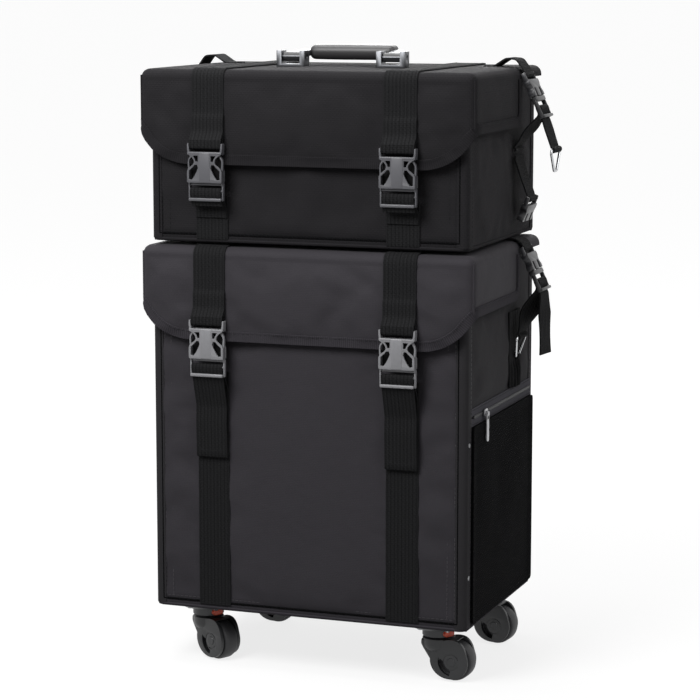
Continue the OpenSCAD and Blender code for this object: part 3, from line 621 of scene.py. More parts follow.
def cloth(name, base, pitch, relief, rough, sheen, painted_sheen_shade):
    """Woven cloth: threads on the UV map, slow drifts of tone painted as the sheen and shade of soft
    wrinkles, painted shade between the threads, and fine creases.
    """
    made, tree, shader = blank(name, Roughness=rough, Sheen_Weight=sheen, Sheen_Roughness=0.45,
                               Specular_IOR_Level=0.12)
    threads = weave(tree, pitch, pitch * 1.08)
    # Painted sheen and shade: slow clouds for the light on soft wrinkles, and the threads' height, darker in
    # the hollows between them
    shades(tree, shader, base, 1 - painted_sheen_shade, 1 + painted_sheen_shade, mixed(tree, 0.35, clouds(tree, 14), threads))
    creases = emboss(tree, shader, clouds(tree, 26, 5), 0.55, 2.8 * MM)
    emboss(tree, shader, threads, 0.8, relief, Normal=creases)
    return made


def ribbed(name, base, along, over, relief, rough=0.85, gloss=0.08, rib=0.0):
    """Webbing or ribbon: threads that cross, painted darker between them as shade, and ribs where rib gives
    their width.
    """
    made, tree, shader = blank(name, Roughness=rough, Specular_IOR_Level=gloss)
    height = weave(tree, along, over)
    if rib:
        across = add(tree, "SeparateXYZ", {"Vector": add(tree, "UVMap").outputs[0]}).outputs[1]
        ridge = maths(tree, "ABSOLUTE", maths(tree, "SINE", maths(tree, "MULTIPLY", across, math.pi / rib)))
        height = mixed(tree, 0.6, height, ridge)
    # Painted shade: the colour follows the threads' height, darker in the hollows between them
    shades(tree, shader, base, 0.5, 1.45, height)
    emboss(tree, shader, height, 1.0, relief)
    return made


def moulded(name, base, rough, relief=0.04 * MM):
    """Moulded plastic: a fine even grain, and its sharp edges a little paler."""
    made, tree, shader = blank(name, Roughness=rough, Specular_IOR_Level=0.5)
    # Paler along sharp edges, by the mesh's pointiness
    edge_pointiness = add(tree, "NewGeometry").outputs["Pointiness"]
    edge = add(tree, "MapRange", {"Value": edge_pointiness, "From Min": 0.5, "From Max": 0.62}).outputs[0]
    shades(tree, shader, base, 0.9, 1.28, mixed(tree, 0.5, clouds(tree, 260, 4), edge))
    # Grit of the mould: 0.4 mm, drawn at 1.2 mm so that it shows
    emboss(tree, shader, clouds(tree, 850, 2), 0.5, relief)
    return made


def metal(name, code, rough, stretch=(1, 1, 1)):
    """Bare or plated metal: a clear tint and fine wear, drawn out along the way it was polished."""
    made, tree, shader = blank(name, Metallic=1.0)
    drawn = add(tree, "Mapping", {"Vector": object_place(tree), "Scale": stretch}).outputs[0]
    marks = add(tree, "TexNoise", {"Vector": drawn, "Scale": 420, "Detail": 4}).outputs[0]
    shades(tree, shader, linear(code), 0.9, 1.06, marks)
    spread = add(tree, "MapRange", {"Value": marks, "To Min": rough * 0.75, "To Max": rough * 1.3})
    tree.links.new(spread.outputs[0], shader.inputs["Roughness"])
    return made


FINISHES = {}


def make_finishes():
    tint = colours()
    FINISHES.update(
        # Oxford nylon with a PU coat, satin; its 0.9 mm threads are drawn at 1.8 mm to show
        lower_cloth=cloth("oxford_nylon_charcoal", tint.lower_cloth, 1.8 * MM, 0.12 * MM, 0.72, 0.03, 0.11),
        lower_side=cloth("oxford_nylon_side", tint.lower_side, 1.8 * MM, 0.12 * MM, 0.85, 0.0, 0.12),
        # Ballistic polyester: heavier 1.3 mm yarn, drawn at 2.2 mm, matt
        upper_cloth=cloth("ballistic_polyester_black", tint.upper_cloth, 2.2 * MM, 0.3 * MM, 0.85, 0.0, 0.14),
        # Nylon taffeta lining: thin, smooth and slightly shiny
        lining=cloth("taffeta_lining_grey", linear("#26262a"), 1.2 * MM, 0.05 * MM, 0.45, 0.3, 0.1),
        # Polypropylene webbing: its 2.4 mm ribs and 1.6 mm picks are drawn at 4.2 and 2.1 mm to show
        webbing=ribbed("polypropylene_webbing_black", tint.webbing, 2.1 * MM, 2.6 * MM, 0.8 * MM,
                       rib=4.2 * MM),
        # Grosgrain ribbon: its cross ribs, under a millimetre, are drawn at 2.4 mm
        **{f"{half}_binding": ribbed(name, base, 1.3 * MM, 1.3 * MM, 0.2 * MM, rib=2.4 * MM)
           for half, name, base in (("lower", "grosgrain_binding_charcoal", tint.lower_binding),
                                    ("upper", "grosgrain_binding_black", tint.upper_binding))},
        # Bonded polyester thread: smooth and a little shiny; coloured paler than the cloth, a painted
        # highlight where it catches the light
        thread=plain("bonded_polyester_thread", tint.thread, 0.45),
        # The same thread in black, on the webbing and the lids
        dark_thread=plain("bonded_polyester_thread_black", linear("#1c1c1e"), 0.7, 0.15),
        # Woven zip tape: a fine twill under a millimetre, drawn at 1.3 mm
        zip_tape=ribbed("woven_zip_tape_grey", linear("#46454a"), 1.3 * MM, 1.5 * MM, 0.1 * MM),
        # Knitted polyester net: 2.6 mm meshes, darkest in its holes, where the shade behind them is painted
        net=ribbed("knitted_polyester_net", tint.net, 2.6 * MM, 2.6 * MM, 0.6 * MM, 0.9, 0.02),
        # Acetal: tough, slippery and smooth, so it takes a broad soft highlight
        # The lower buckles' grey is partly their own colour and partly a painted reflection of the lamps on
        # glossy plastic
        lower_buckle=moulded("acetal_buckle_grey", tint.lower_buckle, 0.38),
        upper_buckle=moulded("acetal_buckle_dark_grey", tint.upper_buckle, 0.4),
        side_buckle=moulded("acetal_side_buckle_grey", tint.side_buckle, 0.36),
        clip=moulded("acetal_clip_black", tint.clip, 0.38),
        # Near-black acetal for the plates behind the buckles' windows: painted shade where they look into the
        # dark hollow
        inside=plain("acetal_unplated_black", linear("#0b0b0c"), 0.7, 0.1),
        # Polypropylene caster housings: textured and matt
        caster=moulded("polypropylene_caster_grey", tint.caster, 0.45, 0.08 * MM),
        fork=moulded("polypropylene_fork_black", tint.fork, 0.4, 0.06 * MM),
        # Polyurethane tread: dense and nearly matt
        tread=moulded("polyurethane_tread_black", linear("#1e1e20"), 0.55, 0.08 * MM),
        # Acetal tabs that let the casters go: smooth and red
        release=moulded("acetal_release_red", tint.release, 0.32),
        # PVC hand grip: soft, with a leather-like grain and a low sheen
        grip=moulded("pvc_grip_black", tint.grip, 0.42, 0.2 * MM),
        # ABS of the pull handle: hard and satin
        abs=moulded("abs_satin_black", linear("#232325"), 0.42),
        # Plated and brushed steel of the handles' brackets
        bracket=metal("plated_steel_brackets", "#66676a", 0.38, (0.3, 4, 4)),
        # Nickelled zinc castings, nickelled wire and zinc plated screws: even wear with no direction
        zinc=metal("die_cast_zinc_nickelled", "#9c9c9e", 0.32),
        wire=metal("nickelled_steel_wire", "#bdbec0", 0.25),
        screw=metal("zinc_plated_screws", "#a9abad", 0.32),
        # Drawn and anodised aluminium tube: streaks along its length
        tube=metal("anodised_aluminium_tube_grey", "#77787b", 0.34, (4, 4, 0.15)),
        inner_tube=metal("anodised_aluminium_tube_bright", "#a6a7aa", 0.3, (4, 4, 0.15)),
    )


# How the padded cloth swells between what holds it


def hump(value, low, high):
    """1 midway between low and high, falling to 0 at both."""
    share = (2 * value - low - high) / (high - low)
    return max(0.0, 1 - share * share)


def ramp(value, start, end):
    """A soft step from 0 at start to 1 at end."""
    share = min(1.0, max(0.0, (value - start) / (end - start)))
    return share * share * (3 - 2 * share)


def bays(x, edge):
    """How free the cloth is across the width: the straps and the side seams hold it down."""
    x = abs(x)
    inner, outer = STRAP_X - STRAP_HALF, STRAP_X + STRAP_HALF
    if x < inner:
        return hump(x, -inner, inner)
    return 0.7 * hump(x, outer, edge) if outer < x < edge else 0.0


def waves(point, seed):
    """Slow and quick waves in the cloth, from about -1 to 1."""
    place = point + Vector((seed, 0, 0))
    return noise.noise(place * 13) + 0.5 * noise.noise(place * 31)


def groove(value, place):
    """A seam that draws the cloth in."""
    return -0.9 * MM * max(0.0, 1 - abs(value - place) / SEAM_HALF)


def swell(piece, rise):
    """Moves each point of a finished mesh along its normal by rise(point, normal)."""
    moves = [(v, v.normal.copy(), rise(v.co.copy(), v.normal.copy())) for v in piece.data.vertices]
    for vertex, normal, height in moves:
        vertex.co += normal * height
    piece.data.update()


CLOTH_STEP = 7 * MM
CLOTH_FRAMES = 24
CLOTH_SLACK = 0.018
CLOTH_LOW, CLOTH_CAP = -1 * MM, 3.2 * MM
CLOTH_SETTINGS = {
    "vertex_group_mass": "held", "mass": 0.25, "tension_stiffness": 12, "compression_stiffness": 12,
    "shear_stiffness": 4, "bending_stiffness": 0.6, "shrink_min": -CLOTH_SLACK, "use_pressure": True,
    "uniform_pressure_force": 0.7,
}
SETTLED = {}


def settled(name, low, high, held, seed):
    """How cloth with a little slack settles over padding: a simulated sheet across (x, z) from low to high.

    It is held where held(x, z) says and pressed out elsewhere. The result gives the height at any (x, z)."""
    if name in SETTLED:
        return SETTLED[name]
    count = [max(4, round((b - a) / CLOTH_STEP)) for a, b in zip(low, high)]
    size = [b - a for a, b in zip(low, high)]

    def place(row, share):
        x, z = row / count[0] * size[0], (share + 0.5) * size[1]
        return Vector((x, z, 0.25 * MM * waves(Vector((x, 0, z)) * 1.6, seed)))

    piece = laid(name, count[0], count[1], place, lambda row, share: (row, share))
    points = piece.data.vertices
    spots = [(round(v.co.x / size[0] * count[0]), round(v.co.y / size[1] * count[1])) for v in points]
    group = piece.vertex_groups.new(name="held")
    for vertex, (i, j) in zip(points, spots):
        edge = i in (0, count[0]) or j in (0, count[1])
        if edge or held(low[0] + vertex.co.x, low[1] + vertex.co.y):
            group.add([vertex.index], 1, "REPLACE")
    made = piece.modifiers.new("cloth", "CLOTH")
    for key, value in CLOTH_SETTINGS.items():
        setattr(made.settings, key, value)
    made.settings.effector_weights.gravity = 0
    made.point_cache.frame_end = CLOTH_FRAMES
    scene = bpy.context.scene
    for step in range(1, CLOTH_FRAMES + 1):
        scene.frame_set(step)
    only(piece)
    bpy.ops.object.modifier_apply(modifier=made.name)
    scene.frame_set(1)
    heights = {spot: v.co.z for spot, v in zip(spots, piece.data.vertices)}
    bpy.data.objects.remove(piece)

    def height(x, z):
        a = min(max((x - low[0]) / size[0], 0), 0.9999) * count[0]
        b = min(max((z - low[1]) / size[1], 0), 0.9999) * count[1]
        i, j = int(a), int(b)
        a, b = a - i, b - j
        near = heights[i, j] * (1 - a) + heights[i + 1, j] * a
        far = heights[i, j + 1] * (1 - a) + heights[i + 1, j + 1] * a
        return min(max(near * (1 - b) + far * b, CLOTH_LOW), CLOTH_CAP)

    SETTLED[name] = height
    return height


def under_strap(x, z=0.0):
    return abs(abs(x) - STRAP_X) < STRAP_HALF + 1 * MM


def front_cover(half):
    """The padded front panel, with a seam near each side and along the bottom, piped."""
    rise_at, flap_low = half.base + SEAM_RISE, half.top - FLAP_H
    seam = (-SEAM_HALF, 0, SEAM_HALF)
    piece = panel(
        f"{half.name}_front_cover", (-SIDE_X, FRONT_Y, half.base), (SIDE_X, FRONT_Y + WALL, half.rim),
        EDGE_R, 4,
        lambda a, b: max(a.y, b.y) < FRONT_Y + MM and (abs(a.x - b.x) < MM or a.z + b.z < 2 * half.base + MM),
        {0: steps(-SEAM_X, SEAM_X, GRID) + [s * (SEAM_X + d) for s in (-1, 1) for d in seam],
         2: steps(rise_at, half.rim, GRID) + [rise_at + d for d in seam]},
    )
    tidy()
    settle = settled(f"{half.name}_front_cloth", (-SEAM_X, rise_at), (SEAM_X, flap_low + 10 * MM),
                     under_strap, half.base)

    def rise(point, normal):
        if normal.y > -0.9:
            return 0.0
        free = bays(point.x, SEAM_X) * ramp(point.z, rise_at, rise_at + 45 * MM)
        free *= 1 - 0.72 * ramp(point.z, flap_low - 30 * MM, flap_low)
        height = free * sizes().swell * 0.5 + settle(point.x, point.z)
        return height + groove(abs(point.x), SEAM_X) + groove(point.z, rise_at)

    swell(piece, rise)
    box_uv(piece)
    dress(piece, half.cloth, half.body, half.slot, [f"{half.name}_front_panel"])
    foot, head, y = rise_at, half.rim - MM, FRONT_Y - 0.1 * MM
    cords = []
    for (x0, z0), (x1, z1) in (((-SEAM_X, foot), (-SEAM_X, head)), ((SEAM_X, foot), (SEAM_X, head)),
                               ((-SEAM_X, foot), (SEAM_X, foot))):
        cords.append(tube("cord", rounded([(x0, y, z0), (x1, y, z1)], 1 * MM, 12 * MM), 1.2 * MM))
    dress(joined(f"{half.name}_front_piping", cords), "net", half.body, half.slot, angle=80)


def wall_cover(half):
    """The side and back panels; the back one stands up to the lid's top."""
    z0, rim, top = half.base, half.rim, half.top
    parts = []
    for s in (-1, 1):
        near, far = sorted((s * (SIDE_X - WALL), s * SIDE_X))
        parts.append(panel(
            "side", (near, FRONT_Y + WALL, z0), (far, BACK_Y - WALL, rim), EDGE_R, 4,
            lambda a, b: min(abs(a.x), abs(b.x)) > SIDE_X - MM and a.z + b.z < 2 * z0 + MM,
            {1: steps(FRONT_Y + WALL, BACK_Y - WALL, GRID), 2: steps(z0 + EDGE_R, rim, GRID)},
        ))
        tidy()
    parts.append(panel(
        "back", (-SIDE_X, BACK_Y - WALL, z0), (SIDE_X, BACK_Y, top), EDGE_R, 4,
        lambda a, b: min(a.y, b.y) > BACK_Y - MM,
        {0: steps(-SIDE_X + EDGE_R, SIDE_X - EDGE_R, 9 * MM), 2: steps(z0 + EDGE_R, top - EDGE_R, 9 * MM)},
    ))
    tidy()
    piece = joined(f"{half.name}_wall_cover", parts)
    skirt_low = top - SKIRT_H
    settle = settled(f"{half.name}_side_cloth", (FRONT_Y + 16 * MM, z0 + 8 * MM),
                     (BACK_Y - 16 * MM, skirt_low - 4 * MM),
                     lambda y, z: abs(y - SIDE_Y) < 18 * MM and z > skirt_low - 90 * MM, z0 + 3)

    def rise(point, normal):
        if abs(normal.x) > 0.9 and abs(point.x) > SIDE_X - MM:
            flat = half is LOWER and point.x > 0 and point.z < POCKET_TOP + 8 * MM
            return 0.0 if flat else 0.7 * settle(point.y, point.z)
        if normal.y > 0.9:
            free = hump(point.x, -84 * MM, 84 * MM) * hump(point.z, z0 + 8 * MM, rim)
            return free * (1.2 * MM + 0.5 * MM * waves(point, 5))
        return 0.0

    swell(piece, rise)
    box_uv(piece)
    dress(piece, half.side_cloth, half.body, half.slot, [f"{half.name}_wall_panels"])


SLEEVE_FRONT = 12 * MM
SLEEVE_SIDE = 16 * MM
SLEEVE_T = 1 * MM
PIPING_R = 2.2 * MM


def corner_sleeves(half):
    """Cloth strips sewn round the upright corners, and the rolled edge along the bottom."""
    parts, lift, low = [], SLEEVE_T / 2, half.base + 3 * MM
    for sx in (-1, 1):
        for sy, edge, top in ((-1, FRONT_Y, half.rim), (1, BACK_Y, half.top - MM)):
            x, z = sx * (SIDE_X + lift), (low + top) / 2
            ends = [(sx * (SIDE_X - SLEEVE_FRONT), edge + sy * lift, z), (x, edge + sy * lift, z),
                    (x, edge - sy * SLEEVE_SIDE, z)]
            line = rounded(ends, EDGE_R + lift, 3 * MM)
            parts.append(ribbon("sleeve", line, (0, 0, 1), top - low, SLEEVE_T, 24))
    dress(joined(f"{half.name}_corner_sleeves", parts), half.side_cloth, half.body, half.slot)
    x, y, z = SIDE_X - 0.8 * MM, BACK_Y - 0.8 * MM, half.base + PIPING_R + 0.2 * MM
    ring = hoop((-x, -y), (x, y), lambda a, b: (a, b, z), EDGE_R + 2 * MM)
    piping = tube(f"{half.name}_bottom_piping", ring, PIPING_R, shut=True)
    dress(piping, half.binding, half.body, half.slot, angle=80)


# Lids: s runs round the front and the sides from the middle of the front, as the cloth lies flat

LID_FLAT = LID_X - LID_R
LID_BEND = LID_R * math.pi / 2
SKIRT_END_S = LID_FLAT + LID_BEND + SKIRT_END_Y - LID_FRONT - LID_R


def lid_wall(s, z):
    """A point on a lid's flap or side skirt, and the direction out of it."""
    side, s = math.copysign(1, s), abs(s)
    if s <= LID_FLAT:
        base, out = Vector((s, LID_FRONT, z)), Vector((0, -1, 0))
    elif s <= LID_FLAT + LID_BEND:
        turn = (s - LID_FLAT) / LID_R
        out = Vector((math.sin(turn), -math.cos(turn), 0))
        base = Vector((LID_FLAT, LID_FRONT + LID_R, z)) + out * LID_R
    else:
        base, out = Vector((LID_X, LID_FRONT + LID_R + s - LID_FLAT - LID_BEND, z)), Vector((1, 0, 0))
    return Vector((side * base.x, base.y, base.z)), Vector((side * out.x, out.y, 0))


def lid_edge(top):
    """The lower edge of a lid's right half, from the middle of the flap to the skirt's end, as (s, z)."""
    start = LID_X - FLAP_CORNER_W
    edge = [(start * i / 16, top - FLAP_H) for i in range(16)]
    for i in range(15):
        s = start + (LID_FLAT + LID_BEND - start) * i / 14
        x = lid_wall(s, 0)[0].x
        edge.append((s, top - FLAP_H + FLAP_R - math.sqrt(max(0, FLAP_R**2 - (x - start) ** 2))))
    last = SKIRT_END_S - SKIRT_END_R
    first = edge[-1][0]
    edge += [(first + (last - first) * i / 12, top - SKIRT_H) for i in range(1, 12)]
    for i in range(8):
        turn = math.radians(90 * i / 7)
        edge.append((last + SKIRT_END_R * math.sin(turn), top - SKIRT_H + SKIRT_END_R * (1 - math.cos(turn))))
    high = top - LID_T - 1 * MM
    return edge + [(SKIRT_END_S, edge[-1][1] + (high - edge[-1][1]) * i / 5) for i in range(1, 6)]


def inward(edge, index):
    """The direction in (s, z) from the lid's lower edge into the cloth."""
    a, b = edge[max(index - 1, 0)], edge[min(index + 1, len(edge) - 1)]
    way = Vector((b[0] - a[0], b[1] - a[1])).normalized()
    return Vector((-way.y, way.x))


def lid_rise(half, point, normal):
    """How far a lid's cloth stands out at a point of it."""
    if normal.z > 0.9:
        free = bays(point.x, LID_X - 8 * MM) * hump(point.y, LID_FRONT + 8 * MM, LID_BACK)
        around = ramp(math.hypot(abs(point.x) - HANDLE_X, point.y - HANDLE_Y), 24 * MM, 50 * MM)
        return free * around * (1.5 * MM + 0.5 * sizes().wrinkle * waves(point, 7))
    drop = half.top - point.z
    if normal.y < -0.9:
        settle = settled(f"{half.name}_flap_cloth", (-LID_FLAT, half.top - FLAP_H + 4 * MM),
                         (LID_FLAT, half.top - LID_SEAM_DROP - 2 * MM), under_strap, half.base + 5)
        free = bays(point.x, LID_FLAT) * hump(drop, LID_SEAM_DROP, FLAP_H - 9 * MM)
        loose = ramp(drop, FLAP_H - 30 * MM, FLAP_H) * 0.6 * MM * waves(point * 1.3, 3)
        return free * sizes().swell * 0.6 + settle(point.x, point.z) + loose + groove(drop, LID_SEAM_DROP)
    if abs(normal.x) > 0.9:
        free = hump(point.y, LID_FRONT + LID_R, SKIRT_END_Y) * hump(drop, LID_SEAM_DROP, SKIRT_H)
        return free * (1.4 * MM + 0.7 * MM * waves(point, 9))
    return 0.0


def lid_cover(half):
    """A lid as one padded piece: top, flap with round lower corners, and side skirts."""
    top, low = half.top, half.top - FLAP_H
    piece = block(f"{half.name}_lid_cover", (-LID_X, LID_FRONT, low), (LID_X, LID_BACK, top))
    remove_faces(lambda middle, normal: normal.z < -0.9 or normal.y > 0.9)
    pick("EDGE", lambda a, b: (a.z + b.z > 2 * top - MM and abs(a.x + b.x) > 2 * LID_X - MM)
         or (max(a.y, b.y) < LID_FRONT + MM and (a.z + b.z > 2 * top - MM or abs(a.x - b.x) < MM)))
    bevel(LID_R, 5)
    # Round lower corners of the flap: planes that touch the arc trim it
    for s in (-1, 1):
        middle = Vector((s * (LID_X - FLAP_CORNER_W), 0, low + FLAP_R))
        for degrees in range(4, 68, 7):
            turn = math.radians(degrees)
            out = Vector((s * math.sin(turn), 0, -math.cos(turn)))
            select_all()
            cut(middle + out * FLAP_R, out, clear=True)
    # Side skirts: cut level with the arc's end, and rounded at the back
    cut_grid(2, [top - SKIRT_H, top - LID_T, top - LID_SEAM_DROP - SEAM_HALF])
    remove_faces(lambda middle, normal: abs(normal.x) > 0.99 and middle.z < top - SKIRT_H)
    hub = Vector((0, SKIRT_END_Y - SKIRT_END_R, top - SKIRT_H + SKIRT_END_R))
    turns = [math.radians(degrees) for degrees in (9, 27, 45, 63, 81, 90)]
    outs = [Vector((0, math.sin(turn), -math.cos(turn))) for turn in turns]

    def in_skirt(middle, normal):
        return abs(normal.x) > 0.99 and middle.z < top - LID_T

    for out in outs:
        pick("FACE", in_skirt)
        cut(hub + out * SKIRT_END_R, out)
    remove_faces(lambda middle, normal: in_skirt(middle, normal)
                 and any((middle - hub).dot(out) > SKIRT_END_R + 0.01 * MM for out in outs))
    cut_grid(0, steps(-LID_FLAT, LID_FLAT, 7 * MM))
    cut_grid(1, steps(LID_FRONT + LID_R, LID_BACK, GRID))
    cut_grid(2, steps(low, top - LID_SEAM_DROP - SEAM_HALF, 7 * MM))
    tidy()
    swell(piece, lambda point, normal: lid_rise(half, point, normal))
    for finish in (half.cloth, "lining", half.binding):
        piece.data.materials.append(FINISHES[finish])
    modify(piece, "SOLIDIFY", thickness=FLAP_T - 0.3 * MM, offset=-1, material_offset=1,
           material_offset_rim=2)
    box_uv(piece)
    dress(piece, None, half.lid_body, half.slot, [half.lid_body])
    # The seam where flap meets skirt, turned under and ridged
    ridges, first, last = [], LID_R * 0.7, SKIRT_H - 2 * MM
    for s in (-1, 1):
        line = []
        for i in range(15):
            spot, out = lid_wall(s * (LID_FLAT + LID_BEND * 0.62), top - (first + (last - first) * i / 14))
            line.append(spot + out * 0.1 * MM)
        ridges.append(tube("ridge", line, 1.3 * MM))
    dress(joined(f"{half.name}_lid_corner_seams", ridges), half.cloth, half.lid_body, half.slot, angle=80)


def lid_binding(half):
    """Tape folded over the lid's lower edge, and the stitches that hold it."""
    right = lid_edge(half.top)
    ways = [inward(right, i) for i in range(len(right))]
    edge = [(-s, z, Vector((-w.x, w.y))) for (s, z), w in zip(right[:0:-1], ways[:0:-1])]
    edge += [(s, z, w) for (s, z), w in zip(right, ways)]
    wide, over = sizes().binding, 1.5 * MM

    def place(row, share, lift=0.9 * MM):
        s, z, way = edge[row]
        inset = (share + 0.5) * (wide + over) - over
        spot, out = lid_wall(s + way.x * inset, z + way.y * inset)
        return spot + out * (lid_rise(half, spot, out) + lift)

    every = range(len(edge))
    far = runs([place(row, 0) for row in every])
    piece = laid(f"{half.name}_lid_binding", len(edge) - 1, 4, place,
                 lambda row, share: (share * wide, far[row]))
    modify(piece, "SOLIDIFY", thickness=1.3 * MM, offset=0)
    open_up(piece)
    tidy()
    rounded_edges(piece, 0.4 * MM, 1, 50)
    dress(piece, half.binding, half.lid_body, half.slot)
    row = ([place(i, 0.3, 1.7 * MM) for i in every], [lid_wall(s, z)[1] for s, z, way in edge])
    stitches(f"{half.name}_lid_stitches", [row], "dark_thread", half.lid_body, half.slot)


def body_stitches(half):
    """Rows of stitches beside the front's side seams, above its bottom seam and along the corner strips."""
    low, high, y = half.base + SEAM_RISE + 4 * MM, half.top - FLAP_H + 6 * MM, FRONT_Y - 0.15 * MM
    front, rows = Vector((0, -1, 0)), []
    for s in (-1, 1):
        for x in (s * (SEAM_X - 3.5 * MM), s * (SEAM_X - 12 * MM)):
            rows.append(([Vector((x, y, low)), Vector((x, y, high))], front))
        x = s * (SIDE_X + SLEEVE_T + 0.1 * MM)
        for along in (FRONT_Y + SLEEVE_SIDE - 3 * MM, BACK_Y - SLEEVE_SIDE + 3 * MM):
            ends = (half.base + 8 * MM, half.rim - 10 * MM)
            rows.append(([Vector((x, along, z)) for z in ends], Vector((s, 0, 0))))
    rows.append(([Vector((x, y, low)) for x in (-SEAM_X + 4 * MM, SEAM_X - 4 * MM)], front))
    stitches(f"{half.name}_body_stitches", rows, half.thread, half.body, half.slot)


# The space over the lower case's folded handle, as lowest and highest (x, y)
WELL = ((-85 * MM, -34 * MM), (85 * MM, 51 * MM))


def base_cover(half):
    """The cloth-covered board under one half; the bag's rises over the well for the handle below it."""
    low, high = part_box(f"{half.name}_base_panel")
    piece = panel(
        f"{half.name}_base_cover", low, (high.x, high.y, low.z + WALL), 1.2 * MM, 2,
        lambda a, b: a.z + b.z < 2 * low.z + MM,
        {0: steps(low.x, high.x, 18 * MM), 1: steps(low.y, high.y, 18 * MM)},
    )
    if half is UPPER:
        (x0, y0), (x1, y1) = WELL
        cut_grid(0, (x0, x1))
        cut_grid(1, (y0, y1))
        pick("FACE", lambda middle, normal: abs(normal.z) > 0.9 and x0 < middle.x < x1 and y0 < middle.y < y1)
        bpy.ops.mesh.extrude_region_move(TRANSFORM_OT_translate={"value": (0, 0, high.z - low.z - WALL)})
    tidy()
    swell(piece, lambda p, n: 0.4 * MM * waves(p, 4) if abs(n.z) > 0.9 else 0.0)
    box_uv(piece)
    dress(piece, half.side_cloth, half.body, half.slot, [f"{half.name}_base_panel"])


LINING_R = 5 * MM


def lining_shell(half):
    """The thin lining inside one half: an open box with soft corners and slack sides, taped round its rim."""
    low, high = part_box(f"{half.name}_lining")
    piece = block(f"{half.name}_lining_shell", low, high)
    remove_faces(lambda middle, normal: normal.z > 0.9)
    pick("EDGE", lambda a, b: abs(a.z - b.z) > MM or a.z + b.z < 2 * low.z + MM)
    bevel(LINING_R, 3)
    for axis in range(3):
        cut_grid(axis, steps(low[axis] + LINING_R, high[axis] - LINING_R * (axis < 2), 14 * MM))
    tidy()
    well = 0.0 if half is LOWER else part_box("upper_base_panel")[1].z - low.z

    def rise(point, normal):
        if normal.z < -0.9 and well:
            inside = ramp(88 * MM - abs(point.x), 0, 4 * MM) * ramp(point.y, -40 * MM, -36 * MM)
            return -well * inside * ramp(-point.y, -57 * MM, -53 * MM)
        return -0.5 * MM - 0.9 * MM * hump(point.z, low.z, high.z) * (1 + waves(point, 6)) / 2

    swell(piece, rise)
    modify(piece, "SOLIDIFY", thickness=1.1 * MM, offset=-1)
    box_uv(piece)
    dress(piece, "lining", half.body, "lining", [f"{half.name}_lining"])
    rim = hoop(low.xy, high.xy, lambda a, b: (a, b, high.z - 0.6 * MM), LINING_R)
    tape = tube(f"{half.name}_lining_tape", rim, 1.3 * MM, 6, shut=True)
    dress(tape, "upper_binding", half.body, "lining", angle=80)


# Webbing and buckles

# A bar's radius, how far webbing lies from the middle of a bar and of a ring's wire, and where the tails hang
BAR_R = 1.6 * MM
BAR_LOOP = 1.7 * MM
WIRE_LOOP = 1.85 * MM
TAIL_REAR_Y = FRONT_Y - 3.2 * MM
TAIL_FRONT_Y = TAIL_REAR_Y - 3.4 * MM
TAIL_LOW_DROP = {"lower": 236 * MM, "upper": 166 * MM}


def off_cloth():
    """How far the middle of webbing lies off the cloth under it."""
    return sizes().webbing / 2 + 0.1 * MM


def strap_line(points, radius=4 * MM):
    """A line of webbing from (y, z) points, its bends rounded."""
    return rounded([(0, y, z) for y, z in points], radius, 6 * MM)


def edge_rows(line, x):
    """Two rows of stitches along a strap, just inside its edges."""
    rows = []
    for s in (-1, 1):
        outs, spots = [], []
        for i, point in enumerate(line):
            out = heading(line, i).cross(Vector((1, 0, 0))).normalized()
            out = -out if out.y > 0.3 or out.z < -0.3 else out
            outs.append(out)
            spots.append(point + out * off_cloth() + Vector((x + s * (STRAP_HALF - 3 * MM), 0, 0)))
        rows.append((spots, outs))
    return rows


def lid_strap(half, name, x):
    """Webbing over the lid, down the flap, round the receiver's bar and back up behind itself."""
    top, t = half.top, sizes().webbing
    bar_z, lift, loop = top - RECEIVER_DROP, off_cloth(), BAR_LOOP + t / 2
    front = LID_FRONT - lift
    line = strap_line([(LID_BACK - 8 * MM, top + lift), (front, top + lift), (front, bar_z + 36 * MM),
                       (front - t - 0.3 * MM, bar_z + 32 * MM), (front - t - 0.3 * MM, bar_z + 16 * MM),
                       (BUCKLE_Y - loop, bar_z + 7 * MM)], LID_R + lift)
    line += [Vector((0, y, z)) for y, z in arc((BUCKLE_Y, bar_z), loop, 180, 360)]
    line += strap_line([(BUCKLE_Y + loop, bar_z), (BUCKLE_Y + loop, bar_z + 5 * MM), (front, bar_z + 14 * MM),
                        (front, bar_z + 30 * MM)])[1:]
    piece = ribbon(name, shifted(line, x), (1, 0, 0), 2 * STRAP_HALF, t, 8, 0.15 * MM)
    dress(piece, "webbing", half.lid_body, "webbing")
    return piece, edge_rows(line[: len(line) // 2], x)


def cross_stitch(x0, x1, z0, z1, y):
    """A box with a cross in it, as sewn where webbing is held."""
    out = Vector((0, -1, 0))
    a, b, c, d = Vector((x0, y, z0)), Vector((x1, y, z0)), Vector((x1, y, z1)), Vector((x0, y, z1))
    return [([p, q], out) for p, q in ((a, b), (b, c), (c, d), (d, a), (a, c), (b, d))]


